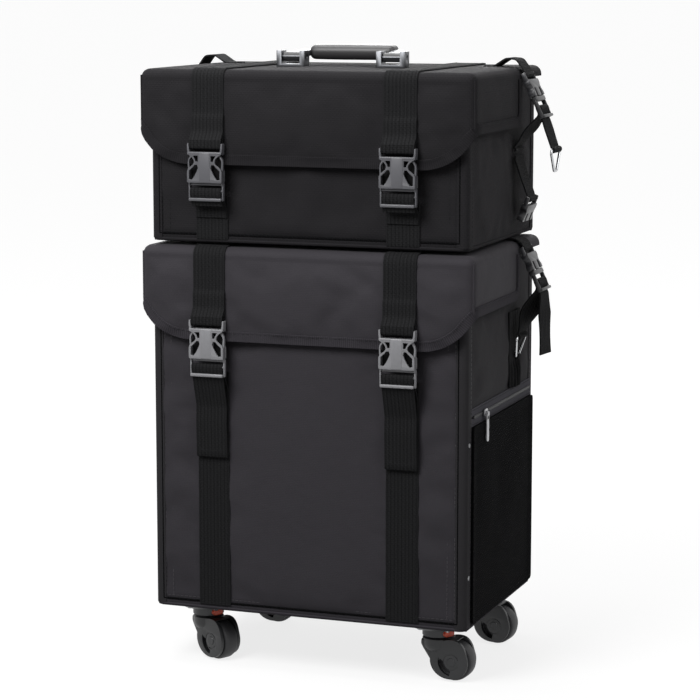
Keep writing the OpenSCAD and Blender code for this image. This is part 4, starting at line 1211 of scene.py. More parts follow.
def tail_line(half):
    """Webbing over the clip's bar: a rear run to the panel, and the lower half's free end in front."""
    low, bar_z, t = half.top - TAIL_LOW_DROP[half.name], half.top - LOCK_DROP, sizes().webbing
    loop = BAR_LOOP + t / 2
    fall = min(34 * MM, half.top - low - CLIP_END_DROP)
    line = strap_line([(TAIL_REAR_Y, low + 2 * MM), (TAIL_REAR_Y, bar_z - 6 * MM - fall * 0.6),
                       (BUCKLE_Y + loop, bar_z - 6 * MM), (BUCKLE_Y + loop, bar_z)], 9 * MM)
    line += [Vector((0, y, z)) for y, z in arc((BUCKLE_Y, bar_z), loop, 0, 180)[1:]]
    over = [(BUCKLE_Y - loop, bar_z), (BUCKLE_Y - loop + 0.4 * MM, bar_z - 4 * MM)]
    if half is UPPER:
        end = [(BUCKLE_Y + 1.4 * MM, bar_z - 14 * MM), (BUCKLE_Y + 2 * MM, bar_z - 17 * MM)]
        return line + strap_line(over + end)[1:]
    out = TAIL_FRONT_Y
    end = [(BUCKLE_Y + 2 * MM, bar_z - 16 * MM), (out, bar_z - 12 * MM - fall),
           (out - 1.2 * MM, low + 40 * MM), (out, low)]
    line += strap_line(over + end, 14 * MM)[1:]
    # The end is folded back behind itself and sewn
    inside = out + t + 0.2 * MM
    fold = [(out, low), (out + 1 * MM, low - 1.4 * MM), (inside, low), (inside, low + 24 * MM)]
    return line + strap_line(fold, 0.9 * MM)[1:]


def strap_tail(half, side, nodes=()):
    """The webbing that a front buckle's clip holds and takes along."""
    line = shifted(tail_line(half), SIDES[side] * STRAP_X)
    tail = ribbon(f"{half.name}_{side}_strap_tail", line, (1, 0, 0), TAIL_W, sizes().webbing, 8)
    dress(tail, "webbing", f"{half.name}_{side}_clip", "webbing", nodes)


def body_strap(half, name, x):
    """Webbing sewn to the front; on the bag it runs on under the base and up the back."""
    lift = off_cloth()
    y, top = FRONT_Y - lift, half.top - CLIP_END_DROP + 4 * MM
    if half is LOWER:
        line = strap_line([(y, half.base + EDGE_R), (y, top)])
    else:
        low, back = half.base - lift, BACK_Y + lift
        line = strap_line([(y, top), (y, low), (back, low), (back, half.rim - 30 * MM)],
                          EDGE_R + sizes().webbing / 2)
    piece = ribbon(name, shifted(line, x), (1, 0, 0), 2 * STRAP_HALF, sizes().webbing, 8)
    dress(piece, "webbing", half.body, "webbing")
    return piece, edge_rows([p for p in line if p.y < 0 and p.z > half.base + 4 * MM], x)


def at(x, y, z):
    """A point given in millimetres."""
    return (x * MM, y * MM, z * MM)


def in_mm(points, side=1):
    """Outline points given in millimetres, mirrored where side is -1."""
    return [(side * a * MM, b * MM) for a, b in points]


def slab(low, high, width=0.7 * MM, segments=2):
    """A small block with rounded edges, as one part of a moulding."""
    piece = block("slab", low, high)
    select_all()
    bevel(width, segments)
    fresh()
    return piece


def rod(start, end, radius, sides=16):
    """A short round bar with eased ends."""
    start, way = Vector(start), Vector(end) - Vector(start)
    far, ease = way.length, min(0.4 * radius, 0.5 * MM)
    inner = radius - ease
    profile = [(0, 0), (inner, 0), (radius, ease), (radius, far - ease), (inner, far), (0, far)]
    return turned("rod", profile, start, way, sides)


def cross_bar(half_width, z):
    """A bar across a front buckle."""
    return rod((-half_width, 0, z), (half_width, 0, z), BAR_R)


def holed(piece, cutters):
    """Cuts openings out of a moulding."""
    for cutter in cutters:
        modify(piece, "BOOLEAN", object=cutter, operation="DIFFERENCE", solver="EXACT")
        bpy.data.objects.remove(cutter)
    return piece


def upright(a, b, c):
    """A frame for outlines drawn in X and Z, raised along Y."""
    return Vector((a, c, b))


def sideways(a, b, c):
    """A frame for outlines drawn in Y and Z, raised along X."""
    return Vector((c, a, b))


def arc(centre, radius, start, end, count=8):
    """Points on an arc, from one angle to another in degrees."""
    turns = [math.radians(start + (end - start) * i / count) for i in range(count + 1)]
    return [(centre[0] + radius * math.cos(turn), centre[1] + radius * math.sin(turn)) for turn in turns]


# Sizes of the front buckles, in millimetres like their outlines
BUCKLE_HALF_T = 5
RECEIVER_FACE_T = 2.4
RECEIVER_H = 34
CLIP_SIDE = 20.8


def front_receiver():
    """A front buckle's receiver, mouth at the origin: two waisted faces, a core and the horns of its bar."""
    edge = [(0, 0), (19.5, 0), (20.6, 1), (20.6, 12.6), (19.2, 15.6), (16.2, 18), (13.2, 20.4), (12.2, 22.8),
            (12.6, 25), (14.6, 27.8), (17.6, 30), (20, 31.4), (20.4, 33.2), (19.6, RECEIVER_H),
            (0, RECEIVER_H)]
    upper = [(7.6, 23.4), (10.4, 23.4), (11.2, 26), (13.6, 29.8), (7.6, 30)]
    lower = [(7.4, 16.6), (8.6, 20), (11.4, 19.8), (14.6, 16.4), (18.2, 13.2), (18.4, 4), (15, 3.2), (12, 7),
             (9, 12.6)]
    horn = [(17.2, 31.5), (19.8, 31), (20.6, 34), (21, 38), (21, 42.6), (20.2, 43.6), (19.2, 42.6),
            (18.6, 37)]
    outline = in_mm(edge) + in_mm([spot for spot in reversed(edge) if spot[0] > 0], -1)
    t = BUCKLE_HALF_T
    face = plate("receiver", outline, -t * MM, (RECEIVER_FACE_T - t) * MM, upright)
    holed(face, [plate("window", in_mm(shape, s), -2 * t * MM, 0, upright) for s in (-1, 1)
                 for shape in (upper, lower)])
    rounded_edges(face, 0.6 * MM, 2, 40)
    parts = [face, copied(face, "back", Matrix.Translation(at(0, 2 * t - RECEIVER_FACE_T, 0)))]
    parts.append(slab(at(-6.6, -t - 0.5, 0.4), at(6.6, t, RECEIVER_H - 0.4), 0.9 * MM, 3))
    parts.append(slab(at(-19.6, -t - 0.2, RECEIVER_H - 2.8), at(19.6, t, RECEIVER_H), 0.8 * MM, 3))
    for s in (-1, 1):
        parts.append(rounded_edges(plate("horn", in_mm(horn, s), -4 * MM, 4 * MM, upright), 0.6 * MM))
    parts.append(cross_bar(19.4 * MM, RECEIVER_END_DROP - RECEIVER_DROP))
    return joined("receiver", parts)


def front_clip():
    """A front buckle's clip, the receiver's mouth at the origin: sprung prongs above, the lock below."""
    parts = [slab(at(-20, -0.4, -3), at(20, 2.7, -0.6), 0.5 * MM)]
    outer = [(20.3, -3), (20.3, 12), (20.8, 15.4), (21, 19.4), (21, 22.6), (20.4, 25.8), (18.6, 28.8),
             (15, 30.8)]
    inner = [(14.4, 29.6), (17, 27.6), (18.8, 24.8), (19.2, 22.4), (19, 19.4), (18.6, 15.4), (18.6, -3)]
    for s in (-1, 1):
        prong = plate("prong", in_mm(outer + inner, s), -2 * MM, 2 * MM, upright)
        parts.append(rounded_edges(prong, 0.5 * MM, 2, 40))
        near, far = sorted((s * (CLIP_SIDE - 2), s * CLIP_SIDE))
        parts.append(slab(at(near, -0.8, -20), at(far, 4, -0.3)))
    parts.append(cross_bar(19.6 * MM, RECEIVER_END_DROP - LOCK_DROP))
    parts.append(slab(at(-19.4, -4.4, -20.4), at(19.4, -0.8, -16.8), 1.1 * MM, 3))
    return joined("clip", parts)


# The side buckles: where they hang from a lid's edge, where the hems are, and sizes down from the bar
HANG_OUT = 3.9 * MM
HANG_DROP = 9 * MM
HEM_X = 188.3 * MM
SIDE_MOUTH = 26 * MM
SIDE_LOCK = 40 * MM
SIDE_END = 52 * MM
SIDE_T = 4 * MM


def hanging(half):
    """Where the side buckle hangs from a lid's right edge: X outwards, Y along the case, Z up the strap."""
    hook = Vector((LID_X + HANG_OUT, SIDE_Y, half.top - HANG_DROP))
    return Matrix.Translation(hook) @ Matrix.Rotation(math.radians(-25), 4, "Y")


def at_hanging(half, out, down):
    """A point in the side buckle's own frame, as (x, z)."""
    return tuple((hanging(half) @ Vector((out, 0, -down))).xz)


def side_receiver(name, where):
    """The receiver of a side buckle, drawn hanging from the origin."""
    half, mouth, t = 19 * MM, SIDE_MOUTH, SIDE_T
    waist = arc((-half - 2.4 * MM, -mouth + 10 * MM), 5.4 * MM, 62, -62)
    left = [(-half + 1 * MM, -6 * MM), (-half, -8 * MM)] + waist
    left += [(-half, -mouth + 1 * MM), (-half + 1.4 * MM, -mouth)]
    body = plate(name, left + [(-a, b) for a, b in reversed(left)], -t, t, sideways)
    cutters = [slab((-2 * t, y - 2.6 * MM, -mouth - 4 * MM), (2 * t, y + 2.6 * MM, -mouth + 9.6 * MM))
               for y in (-9 * MM, 9 * MM)]
    cutters.append(slab((-t + 2.1 * MM, -half + 4 * MM, -mouth - 4 * MM),
                        (t - 2.1 * MM, half - 4 * MM, -mouth + 14 * MM)))
    holed(body, cutters)
    rounded_edges(body, 0.7 * MM, 2, 40)
    parts = [body, rod((0, -half + 1 * MM, 0), (0, half - 1 * MM, 0), BAR_R)]
    for y in (-half + 1.5 * MM, half - 1.5 * MM):
        parts.append(slab((-2.5 * MM, y - 1.5 * MM, -8 * MM), (2.5 * MM, y + 1.5 * MM, 3 * MM), 0.9 * MM))
    piece = joined(name, parts)
    piece.data.transform(where)
    return piece


def side_clip(name, where):
    """The clip of a side buckle, with its lock for the webbing."""
    half, mouth, end, t = 18 * MM, -SIDE_MOUTH, -SIDE_END, SIDE_T
    z = mouth - 6 * MM
    parts = [slab((-t + 0.4 * MM, -half, z), (t - 0.4 * MM, half, mouth - 0.3 * MM), 1.4 * MM, 3)]
    for s in (-1, 1):
        y, z = s * 9 * MM, mouth + 5 * MM
        parts.append(slab((-1.4 * MM, y - 2 * MM, mouth - 1 * MM), (1.4 * MM, y + 2 * MM, z), 0.5 * MM))
        y, z = s * (half - 1.2 * MM), mouth - 5 * MM
        parts.append(slab((-2.5 * MM, y - 1.2 * MM, end), (2.5 * MM, y + 1.2 * MM, z), 0.8 * MM))
    parts.append(rod((0, -half + 0.5 * MM, -SIDE_LOCK), (0, half - 0.5 * MM, -SIDE_LOCK), BAR_R))
    parts.append(slab((1 * MM, -half, end), (t, half, end + 3.4 * MM), 0.9 * MM))
    piece = joined(name, parts)
    piece.data.transform(where)
    return piece


def across_line(points, radius=4 * MM):
    """A line of side webbing from (x, z) points at the side straps' place."""
    return rounded([(x, SIDE_Y, z) for x, z in points], radius, 5 * MM)


def loop_line(centre, radius, start, end):
    """Side webbing round a bar, from one angle to another in degrees."""
    return across_line(arc(centre, radius, start, end, 12), 1 * MM)


RING_H = 24 * MM


def wire_ring(name, foot, tilt):
    """A three-sided wire ring standing on its narrow foot at (x, z), with bent corners."""
    wide, narrow = 20 * MM, 5 * MM
    corners = [(0, 0, 0), (0, narrow, 0), (0, wide, RING_H), (0, -wide, RING_H), (0, -narrow, 0), (0, 0, 0)]
    piece = tube(name, rounded(corners, 3.2 * MM, 4 * MM), BAR_R, 10, shut=True)
    place = Matrix.Translation((foot[0], SIDE_Y, foot[1]))
    piece.data.transform(place @ Matrix.Rotation(math.radians(tilt), 4, "Y"))
    return piece


def sided(piece, side):
    """The right side is modelled, and the left one mirrors it."""
    if side == "left":
        piece.data.transform(MIRROR)
        piece.data.flip_normals()
    return piece


def side_webbing(name, side, line, body, nodes=(), held=(), twist=14, thick=None, width=SIDE_STRAP_W):
    """Side webbing along a line, turned by up to twist degrees away from the (x, z) places that hold it."""
    ways, crest = [], max(range(len(line)), key=lambda i: line[i].z)
    for i, point in enumerate(line):
        near = min((math.hypot(point.x - x, point.z - z) for x, z in held), default=0)
        turn = math.radians(twist) * ramp(near, 5 * MM, 34 * MM if i < crest else 95 * MM)
        ways.append(Vector((math.sin(turn), math.cos(turn), 0)))
    piece = ribbon(name, line, ways, width, thick or sizes().webbing, 6)
    dress(sided(piece, side), "webbing", body, "webbing", nodes)


def side_tab(half, side):
    """The tab over the lid's edge, looped round the bar of the side buckle's receiver, and the receiver."""
    top, lift, loop = half.top, off_cloth(), BAR_LOOP + sizes().webbing / 2
    bar = (LID_X + HANG_OUT, top - HANG_DROP)
    arch = 9 * MM if half is UPPER else 2.4 * MM
    line = across_line([(LID_X - 44 * MM, top + lift), (LID_X - 32 * MM, top + lift),
                        (LID_X - 18 * MM, top + lift + arch), (LID_X - 6 * MM, top + lift + arch * 0.9),
                        (LID_X + 1.5 * MM, top - 1 * MM), (bar[0] + 1 * MM, bar[1] + loop)], 7 * MM)
    side_webbing(f"{half.name}_{side}_side_tab", side, line + loop_line(bar, loop, 75, -170), half.lid_body)
    receiver = side_receiver(f"{half.name}_{side}_side_receiver", hanging(half))
    dress(sided(receiver, side), "side_buckle", half.lid_body, "grey_plastic")


def over_lock(half, end, fall):
    """The line of webbing from end on the wall side, up over the side clip's bar, and down to fall."""
    loop = BAR_LOOP + sizes().webbing / 2
    rear = [(-loop, 47 * MM), (-loop, 40.5 * MM)]
    front = [(loop, 40.5 * MM), (loop, 43 * MM), (-1.6 * MM, 50 * MM), (-1.6 * MM, 55 * MM)]
    line = across_line([end] + [at_hanging(half, *point) for point in rear], 8 * MM)
    line += loop_line(at_hanging(half, 0, SIDE_LOCK), loop, 205, 25)
    return line + across_line([at_hanging(half, *point) for point in front] + [fall], 10 * MM)


def side_strap(half, side, line, held, ring, tilt, twist=14):
    """One side strap: the clip, the webbing that it locks, and the wire ring with its foot at ring."""
    name = f"{half.name}_{side}"
    body = f"{name}_side_strap"
    dress(sided(side_clip(f"{name}_side_clip", hanging(half)), side), "clip", body, "webbing")
    held = (*held, at_hanging(half, 0, SIDE_LOCK))
    side_webbing(f"{name}_side_webbing", side, line, body, [body], held, twist)
    wire = wire_ring(f"{name}_wire_ring", ring, tilt)
    dress(sided(wire, side), "wire", f"{name}_ring", "zinc", [f"{name}_ring"], 80)


def lower_side_strap(side):
    """The trolley case's side strap, looped through the ring that a patch holds on the wall."""
    half, t, tilt = LOWER, sizes().webbing, 12
    foot = (189.75 * MM, half.top - 133 * MM)
    loop, turn = WIRE_LOOP + t / 2, math.radians(tilt)
    bar = (foot[0] + RING_H * math.sin(turn), foot[1] + RING_H * math.cos(turn))
    fall = (at_hanging(half, 2 * MM, SIDE_END)[0], half.top - 129 * MM)
    line = loop_line(bar, loop, -100, 80) + over_lock(half, (bar[0] + 0.4 * MM, bar[1] + loop + 2 * MM), fall)
    side_strap(half, side, line, [bar], foot, tilt, 34)
    x = SIDE_X + t / 2 + 0.2 * MM
    line = across_line([(x, half.top - 168 * MM), (x, half.top - 80 * MM)])
    patch = ribbon(f"lower_{side}_ring_patch", line, (0, 1, 0), 44 * MM, t, 44)
    for vertex in patch.data.vertices:
        vertex.co.x += pleat(half.top - vertex.co.z, vertex.co.y - SIDE_Y, vertex.co.z)
    dress(sided(patch, side), "webbing", "case", "webbing")
    side_webbing(f"lower_{side}_ring_loop", side, loop_line(foot, loop, -150, 150), "case", thick=t * 0.8,
                 width=7 * MM)


def pleat(drop, across, z):
    """How far the ring's patch stands off the wall: gathered pleats, deeper below the ring."""
    loose = ramp(drop, 134 * MM, 150 * MM) * hump(across, -24 * MM, 24 * MM)
    phase = across / MM + 4 * waves(Vector((0, 0, z)), 3)
    return (0.4 + 4.4 * loose) * MM * (1 + math.sin(phase * 0.85)) / 2


def upper_side_strap(side):
    """The bag's side strap, from its hem over the clip to the ring, and the tie with the lower receiver."""
    half, t, name = UPPER, sizes().webbing, f"upper_{side}"
    hem, tie_hem = (HEM_X, half.top - 92 * MM), (HEM_X, half.top - 101 * MM)
    bar = (LID_X + HANG_OUT + 33 * MM, half.top - 92 * MM)
    hem_loop, loop = BAR_R, WIRE_LOOP + t / 2
    line = loop_line(hem, hem_loop, -90, 100)
    line += over_lock(half, (hem[0] + 1 * MM, hem[1] + 4 * MM), (bar[0] - 1 * MM, bar[1] + loop))
    line += loop_line(bar, loop, 100, -130)
    side_strap(half, side, line, [hem, bar], (bar[0], bar[1] - RING_H), 0)
    end, loop = (SIDE_X + 20 * MM, half.top - 148 * MM), BAR_LOOP + t / 2
    line = loop_line(tie_hem, hem_loop, 90, -60)
    start = (tie_hem[0] + 1 * MM, tie_hem[1] - 2.5 * MM)
    line += across_line([start, (end[0] - 0.5 * MM, end[1] + loop)])[1:] + loop_line(end, loop, 80, -150)
    side_webbing(f"{name}_tie_webbing", side, line, f"{name}_tie", [f"{name}_tie"], (tie_hem, end))
    where = Matrix.Translation((end[0], SIDE_Y, end[1])) @ Matrix.Rotation(math.radians(20), 4, "Y")
    dress(sided(side_receiver(f"{name}_tie_receiver", where), side), "clip", f"{name}_tie", "dark_plastic")


def keep(node, finish):
    """Gives a frame node that stays in sight a better finish."""
    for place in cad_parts[node].material_slots:
        place.material = FINISHES[finish]


# Operators: one for the finishes, one for the stage and one for each piece or group of like pieces


class CASE_OT_finishes(bpy.types.Operator):
    """Makes every material of the case"""

    bl_idname = "case.finishes"
    bl_label = "Finishes"

    def execute(self, context):
        make_finishes()
        return {"FINISHED"}


FLOOR, FLOOR_INNER = 400.0, 3.0
WHITE = (1, 1, 1, 1)
CAMERA_AZIMUTH = 20.0
CAMERA_RISE = 8.6
CAMERA_FAR = 2.85
CAMERA_TARGET = (0.004, 0.0, 0.353)
CAMERA_LENS = 127.0
# Each lamp's place, the height it points at, its size and its power
LAMPS = {
    "key_lamp": ((-0.35, -1.1, 1.3), 0.5, 0.8, 19),
    "top_lamp": ((-0.3, 0.1, 2.2), 0.5, 1.2, 24),
    "back_lamp": ((-0.5, 1.9, 1.5), 0.4, 1.4, 24),
    "fill_lamp": ((1.9, -0.6, 1.8), 0.5, 1.3, 16),
}


def seen_share(tree, amount):
    """amount for rays that show the stage, seen, in gloss or through glass, and 0 for light from it."""
    path = add(tree, "LightPath")
    seen = path.outputs["Is Camera Ray"]
    for kind in ("Is Glossy Ray", "Is Transmission Ray"):
        seen = maths(tree, "MAXIMUM", seen, path.outputs[kind])
    return maths(tree, "MULTIPLY", seen, amount)


def floor_paint():
    """Painted studio floor: matt and white, shown a little brighter than it is lit, with its shadows and a
    painted shade round the case.
    """
    made = bpy.data.materials.new("matt_floor_paint")
    tree = emptied(made)
    paint = add(tree, "BsdfDiffuse", {"Color": (0.2, 0.2, 0.2, 1), "Roughness": 0.6}).outputs[0]
    # Round the case the floor glows less, a painted shade round it so that the shadow reads; away from it the
    # floor goes to white
    far = add(tree, "VectorMath", {0: object_place(tree)}, operation="LENGTH").outputs["Value"]
    reach = {"From Min": 0.4, "From Max": 2.6, "To Min": 0.8, "To Max": 0.93}
    bright = add(tree, "MapRange", {"Value": far, **reach})
    level = maths(tree, "MULTIPLY", seen_share(tree, 1.0), bright.outputs[0])
    glow = add(tree, "Emission", {"Color": WHITE, "Strength": level}).outputs[0]
    both = add(tree, "AddShader", {0: paint, 1: glow})
    add(tree, "OutputMaterial", {"Surface": both.outputs[0]})
    return made


class CASE_OT_stage(bpy.types.Operator):
    """White floor that runs on out of sight, soft lamps and the camera"""

    bl_idname = "case.stage"
    bl_label = "Stage"

    def execute(self, context):
        piece = begin("studio_floor", "circle", vertices=64, radius=FLOOR, fill_type="NGON")
        select_all()
        bpy.ops.mesh.inset(thickness=FLOOR - FLOOR_INNER)
        tidy()
        piece.data.materials.append(floor_paint())
        smooth(piece, 60)

        world = context.scene.world = bpy.data.worlds.new("studio")
        tree = emptied(world)
        level = maths(tree, "ADD", seen_share(tree, 0.77), 0.2)
        sky = add(tree, "Background", {"Color": WHITE, "Strength": level})
        add(tree, "OutputWorld", {"Surface": sky.outputs[0]})

        for name, (place, height, size, power) in LAMPS.items():
            light = bpy.data.lights.new(name, "AREA")
            light.shape, light.size, light.energy = "DISK", size, power
            holder = placed(name, light)
            holder.location = place
            aim = Vector((0, 0, height)) - Vector(place)
            holder.rotation_euler = aim.to_track_quat("-Z", "Y").to_euler()

        turn, rise = math.radians(CAMERA_AZIMUTH), math.radians(CAMERA_RISE)
        back = Vector((math.sin(turn) * math.cos(rise), -math.cos(turn) * math.cos(rise), math.sin(rise)))
        view = bpy.data.cameras.new("camera")
        view.lens, view.sensor_width = CAMERA_LENS, 36
        camera = placed("camera", view)
        camera.location = Vector(CAMERA_TARGET) + back * CAMERA_FAR
        camera.rotation_euler = (-back).to_track_quat("-Z", "Y").to_euler()
        context.scene.camera = camera
        context.scene.view_settings.view_transform = "Standard"
        return {"FINISHED"}


class CASE_OT_bodies(bpy.types.Operator):
    """Padded front, side and back panels, corner strips, piping and base boards of both halves"""

    bl_idname = "case.bodies"
    bl_label = "Bodies"

    def execute(self, context):
        for half in HALVES:
            for make in (front_cover, wall_cover, corner_sleeves, base_cover, body_stitches):
                make(half)
        return {"FINISHED"}


class CASE_OT_linings(bpy.types.Operator):
    """Thin linings inside both halves"""

    bl_idname = "case.linings"
    bl_label = "Linings"

    def execute(self, context):
        for half in HALVES:
            lining_shell(half)
        return {"FINISHED"}


class CASE_OT_lids(bpy.types.Operator):
    """Padded lids with their bound edges and stitching"""

    bl_idname = "case.lids"
    bl_label = "Lids"

    def execute(self, context):
        for half in HALVES:
            lid_cover(half)
            lid_binding(half)
        return {"FINISHED"}


# The seven rows of stitches that show as ribs on each lid strap's drop
FLAP_ROWS = range(-3, 4)
FLAP_ROW_PITCH = 4.4 * MM


class CASE_OT_straps(bpy.types.Operator):
    """Lid straps, sewn front straps and the lower clips' tails"""

    bl_idname = "case.straps"
    bl_label = "Front straps"

    def execute(self, context):
        for half in HALVES:
            rows, made = {"lid": [], "body": []}, {}
            y = LID_FRONT - sizes().webbing - 0.25 * MM
            high, low = half.top - 11 * MM, half.top - RECEIVER_DROP + 33 * MM
            for side, s in SIDES.items():
                x = s * STRAP_X
                piece, more = lid_strap(half, f"{half.name}_{side}_lid_strap", x)
                made.setdefault("lid", piece)
                rows["lid"] += more
                piece, more = body_strap(half, f"{half.name}_{side}_front_strap", x)
                made.setdefault("body", piece)
                rows["body"] += more
                for i in FLAP_ROWS:
                    spots = [Vector((x + i * FLAP_ROW_PITCH, y, z)) for z in (high, low)]
                    rows["lid"].append((spots, Vector((0, -1, 0))))
                if half is LOWER:
                    strap_tail(half, side, [f"lower_{side}_tail"])
                    box = cross_stitch(x - 14 * MM, x + 14 * MM, half.top - 230 * MM, half.top - 214 * MM,
                                       TAIL_FRONT_Y - 1 * MM)
                    name = f"lower_{side}"
                    stitches(f"{name}_tail_stitches", box, "dark_thread", f"{name}_clip", "webbing")
            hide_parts(f"{half.name}_lid_straps")
            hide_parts(f"{half.name}_body_straps")
            stitches(f"{half.name}_lid_strap_stitches", rows["lid"], "dark_thread", half.lid_body, "webbing")
            stitches(f"{half.name}_front_strap_stitches", rows["body"], "dark_thread", half.body, "webbing")
        return {"FINISHED"}


class CASE_OT_buckles(bpy.types.Operator):
    """Front buckles: receivers on the lids, the clips that slide into them, and the upper clips' tails"""

    bl_idname = "case.buckles"
    bl_label = "Front buckles"

    def execute(self, context):
        receiver, clip = front_receiver(), front_clip()
        # A near-black plate inside each receiver, behind its windows: painted shade, where the windows look
        # into the buckle's dark hollow
        inside = slab(at(-18.4, 2.1, 0.6), at(18.4, 2.7, 30.6), 0.2 * MM)
        for half in HALVES:
            finish, pair, window_shade_plates = f"{half.name}_buckle", [], []
            for side, s in SIDES.items():
                mouth = Matrix.Translation((s * STRAP_X, BUCKLE_Y, half.top - RECEIVER_END_DROP))
                pair.append(copied(receiver, "receiver", mouth))
                window_shade_plates.append(copied(inside, "inside", mouth))
                body = f"{half.name}_{side}_clip"
                piece = copied(clip, f"{half.name}_{side}_buckle_clip", mouth)
                dress(piece, finish, body, "grey_plastic", [body])
            dress(joined(f"{half.name}_buckle_receivers", pair), finish, half.lid_body, "grey_plastic",
                  [f"{half.name}_receivers"])
            dress(joined(f"{half.name}_buckle_insides", window_shade_plates), "inside", half.lid_body, "grey_plastic")
        for spare in (receiver, clip, inside):
            bpy.data.objects.remove(spare)
        for side in SIDES:
            strap_tail(UPPER, side)
        return {"FINISHED"}


# How far each grip stands off the lid when it is let go, and the size of a handle's barrel, arm and grip
HANDLE_REST = {"lower": math.radians(2), "upper": math.radians(7)}
BARREL_HALF = 10.7 * MM
ARM_HALF = 10.6 * MM
GRIP_HALF = 52 * MM
GRIP_HALF_H = 8.6 * MM


def carry_handle(half):
    """A carry handle: open brackets, barrels, arms and a soft grip, which rests a little raised."""
    name, body = half.name, f"{half.name}_handle"
    soft_copy(f"{name}_handle_brackets", "bracket", half.lid_body, "bracket_metal", 0.7 * MM)
    pin = Vector((0, HANDLE_Y, half.top + HANDLE_RISE))
    lift = Matrix.Translation(pin) @ Matrix.Rotation(HANDLE_REST[name], 4, "X") @ Matrix.Translation(-pin)
    parts, barrels = [], []
    for s in (-1, 1):
        x = s * HANDLE_X
        half_bar = Vector((BARREL_HALF, 0, 0))
        hub, low = pin + Vector((x, 0, 0)), pin + Vector((x, -5.1 * MM, 1 * MM))
        barrels.append(rod(hub - half_bar, hub + half_bar, 5.2 * MM, 24))
        parts.append(rod(low - half_bar, low + half_bar, 0.9 * MM, 12))
        inner, outer = x - s * ARM_HALF, x + s * ARM_HALF
        shape = [(inner, 2 * MM), (outer, 2 * MM), (outer, 12 * MM), (x + s * 1 * MM, 38 * MM),
                 (x - s * 12 * MM, 38 * MM), (inner, 17 * MM)]
        arm = plate("arm", shape, -3.4 * MM, 3.4 * MM, lambda p, q, c: pin + Vector((p, q, c)))
        parts.append(rounded_edges(arm, 1.4 * MM, 3))
    dress(joined(f"{name}_handle_barrels", barrels), "abs", body, "dark_plastic")
    arms = joined(f"{name}_handle_arms", parts)
    arms.data.transform(lift)
    dress(arms, "bracket", body, "dark_plastic")
    grip = block(f"{name}_handle_grip", pin + Vector((-GRIP_HALF, 28 * MM, -GRIP_HALF_H)),
                 pin + Vector((GRIP_HALF, 52 * MM, GRIP_HALF_H)))
    select_all()
    bevel(7 * MM, 5)
    cut_grid(0, steps(-46 * MM, 46 * MM, 7 * MM))
    tidy()
    swell(grip, lambda p, n: -0.5 * MM * (1 - hump(p.x, -GRIP_HALF, GRIP_HALF)) + 0.25 * MM * waves(p * 2, 8))
    grip.data.transform(lift)
    dress(grip, "grip", body, "dark_plastic", [f"{name}_handle"])


class CASE_OT_handles(bpy.types.Operator):
    """Carry handles: open brackets, arms and soft grips"""

    bl_idname = "case.handles"
    bl_label = "Carry handles"

    def execute(self, context):
        for half in HALVES:
            carry_handle(half)
        return {"FINISHED"}


# Each caster's side of the case in x and y, and how far it is turned
CASTERS = {
    "front_left": (-1, -1, -28), "front_right": (1, -1, -4),
    "rear_left": (-1, 1, 0), "rear_right": (1, 1, -6),
}
# Outlines of a caster's parts in millimetres: distance from the axis or along the trail, and height
SOCKET = [(4.6, 49.4), (17, 49.4), (17.9, 50.2), (17.9, 57.5), (19.5, 58.6), (27, 59.6), (30.5, 60.6),
          (36.2, 64.2), (37.2, 65.4), (36.8, 66.1), (0.1, 66.1)]
NECK = [(0.1, 48.4), (16.2, 48.4), (17.6, 47), (17.6, 40.5), (16.8, 37), (14.6, 33.6), (11, 31), (6, 29.6),
        (0.1, 29)]
SLOPE = [(-16.6, 47), (-16.8, 40), (-14.4, 35.4), (-4.6, 21), (0, 17), (8, 24), (14, 47)]
RIM = [(3.4, -7.6), (6.0, -8.4), (9.6, -8.4), (10.8, -7.2), (14.8, -6.8), (16.2, -8.6), (19.2, -9),
       (21.6, -8), (22.4, -6), (22.5, 0)]
COVER_SIDE = 14 * MM


def band(hub, outer, inner, start, end):
    """An outline between two arcs round one hub."""
    return arc(hub, outer, start, end, 20) + arc(hub, inner, end, start, 20)


def caster_fork():
    """One caster's fork on its swivel axis, trailing along X: side covers, a fender, a neck and axle caps."""
    hub = (TRAIL, WHEEL_R)
    outline = []
    for degrees in range(0, 360, 8):
        reach = 19.6 * MM + 6 * MM * ramp(degrees, 20, 78) * (1 - ramp(degrees, 172, 275))
        outline += arc(hub, reach, degrees, degrees, 1)[:1]
    cover = plate("cover", outline, 10.1 * MM, COVER_SIDE, upright)
    crescent = arc(hub, 16 * MM, 164, 262, 10) + arc((hub[0] + 5 * MM, hub[1] + 3 * MM), 14.6 * MM, 246, 190)
    ring = band(hub, 9.4 * MM, 8.4 * MM, 20, 330)
    holed(cover, [plate("recess", crescent, 9 * MM, 16 * MM, upright),
                  plate("recess", ring, COVER_SIDE - 0.6 * MM, 16 * MM, upright)])
    rounded_edges(cover, 1.3 * MM, 3, 50)
    parts = [cover, copied(cover, "cover", Matrix.Scale(-1, 4, (0, 1, 0)))]
    fender = plate("fender", band(hub, 25.4 * MM, 24 * MM, 76, 178), -11 * MM, 11 * MM, upright)
    parts.append(rounded_edges(fender, 0.5 * MM, 1, 40))
    slope = plate("slope", in_mm(SLOPE), -12.6 * MM, 12.6 * MM, upright)
    rounded_edges(slope, 3.6 * MM, 4, 50)
    neck = turned("neck", in_mm(NECK), (0, 0, 0), (0, 0, 1), 48)
    well = turned("well", in_mm([(0, -10), (24, -10), (24, 10), (0, 10)]), (TRAIL, 0, WHEEL_R), (0, 1, 0), 64)
    parts += [holed(slope, [copied(well, "well", Matrix())]), holed(neck, [well])]
    for s in (-1, 1):
        parts.append(rod((TRAIL, s * 12 * MM, WHEEL_R), (TRAIL, s * 14.7 * MM, WHEEL_R), 5 * MM, 24))
    return joined("fork", parts)


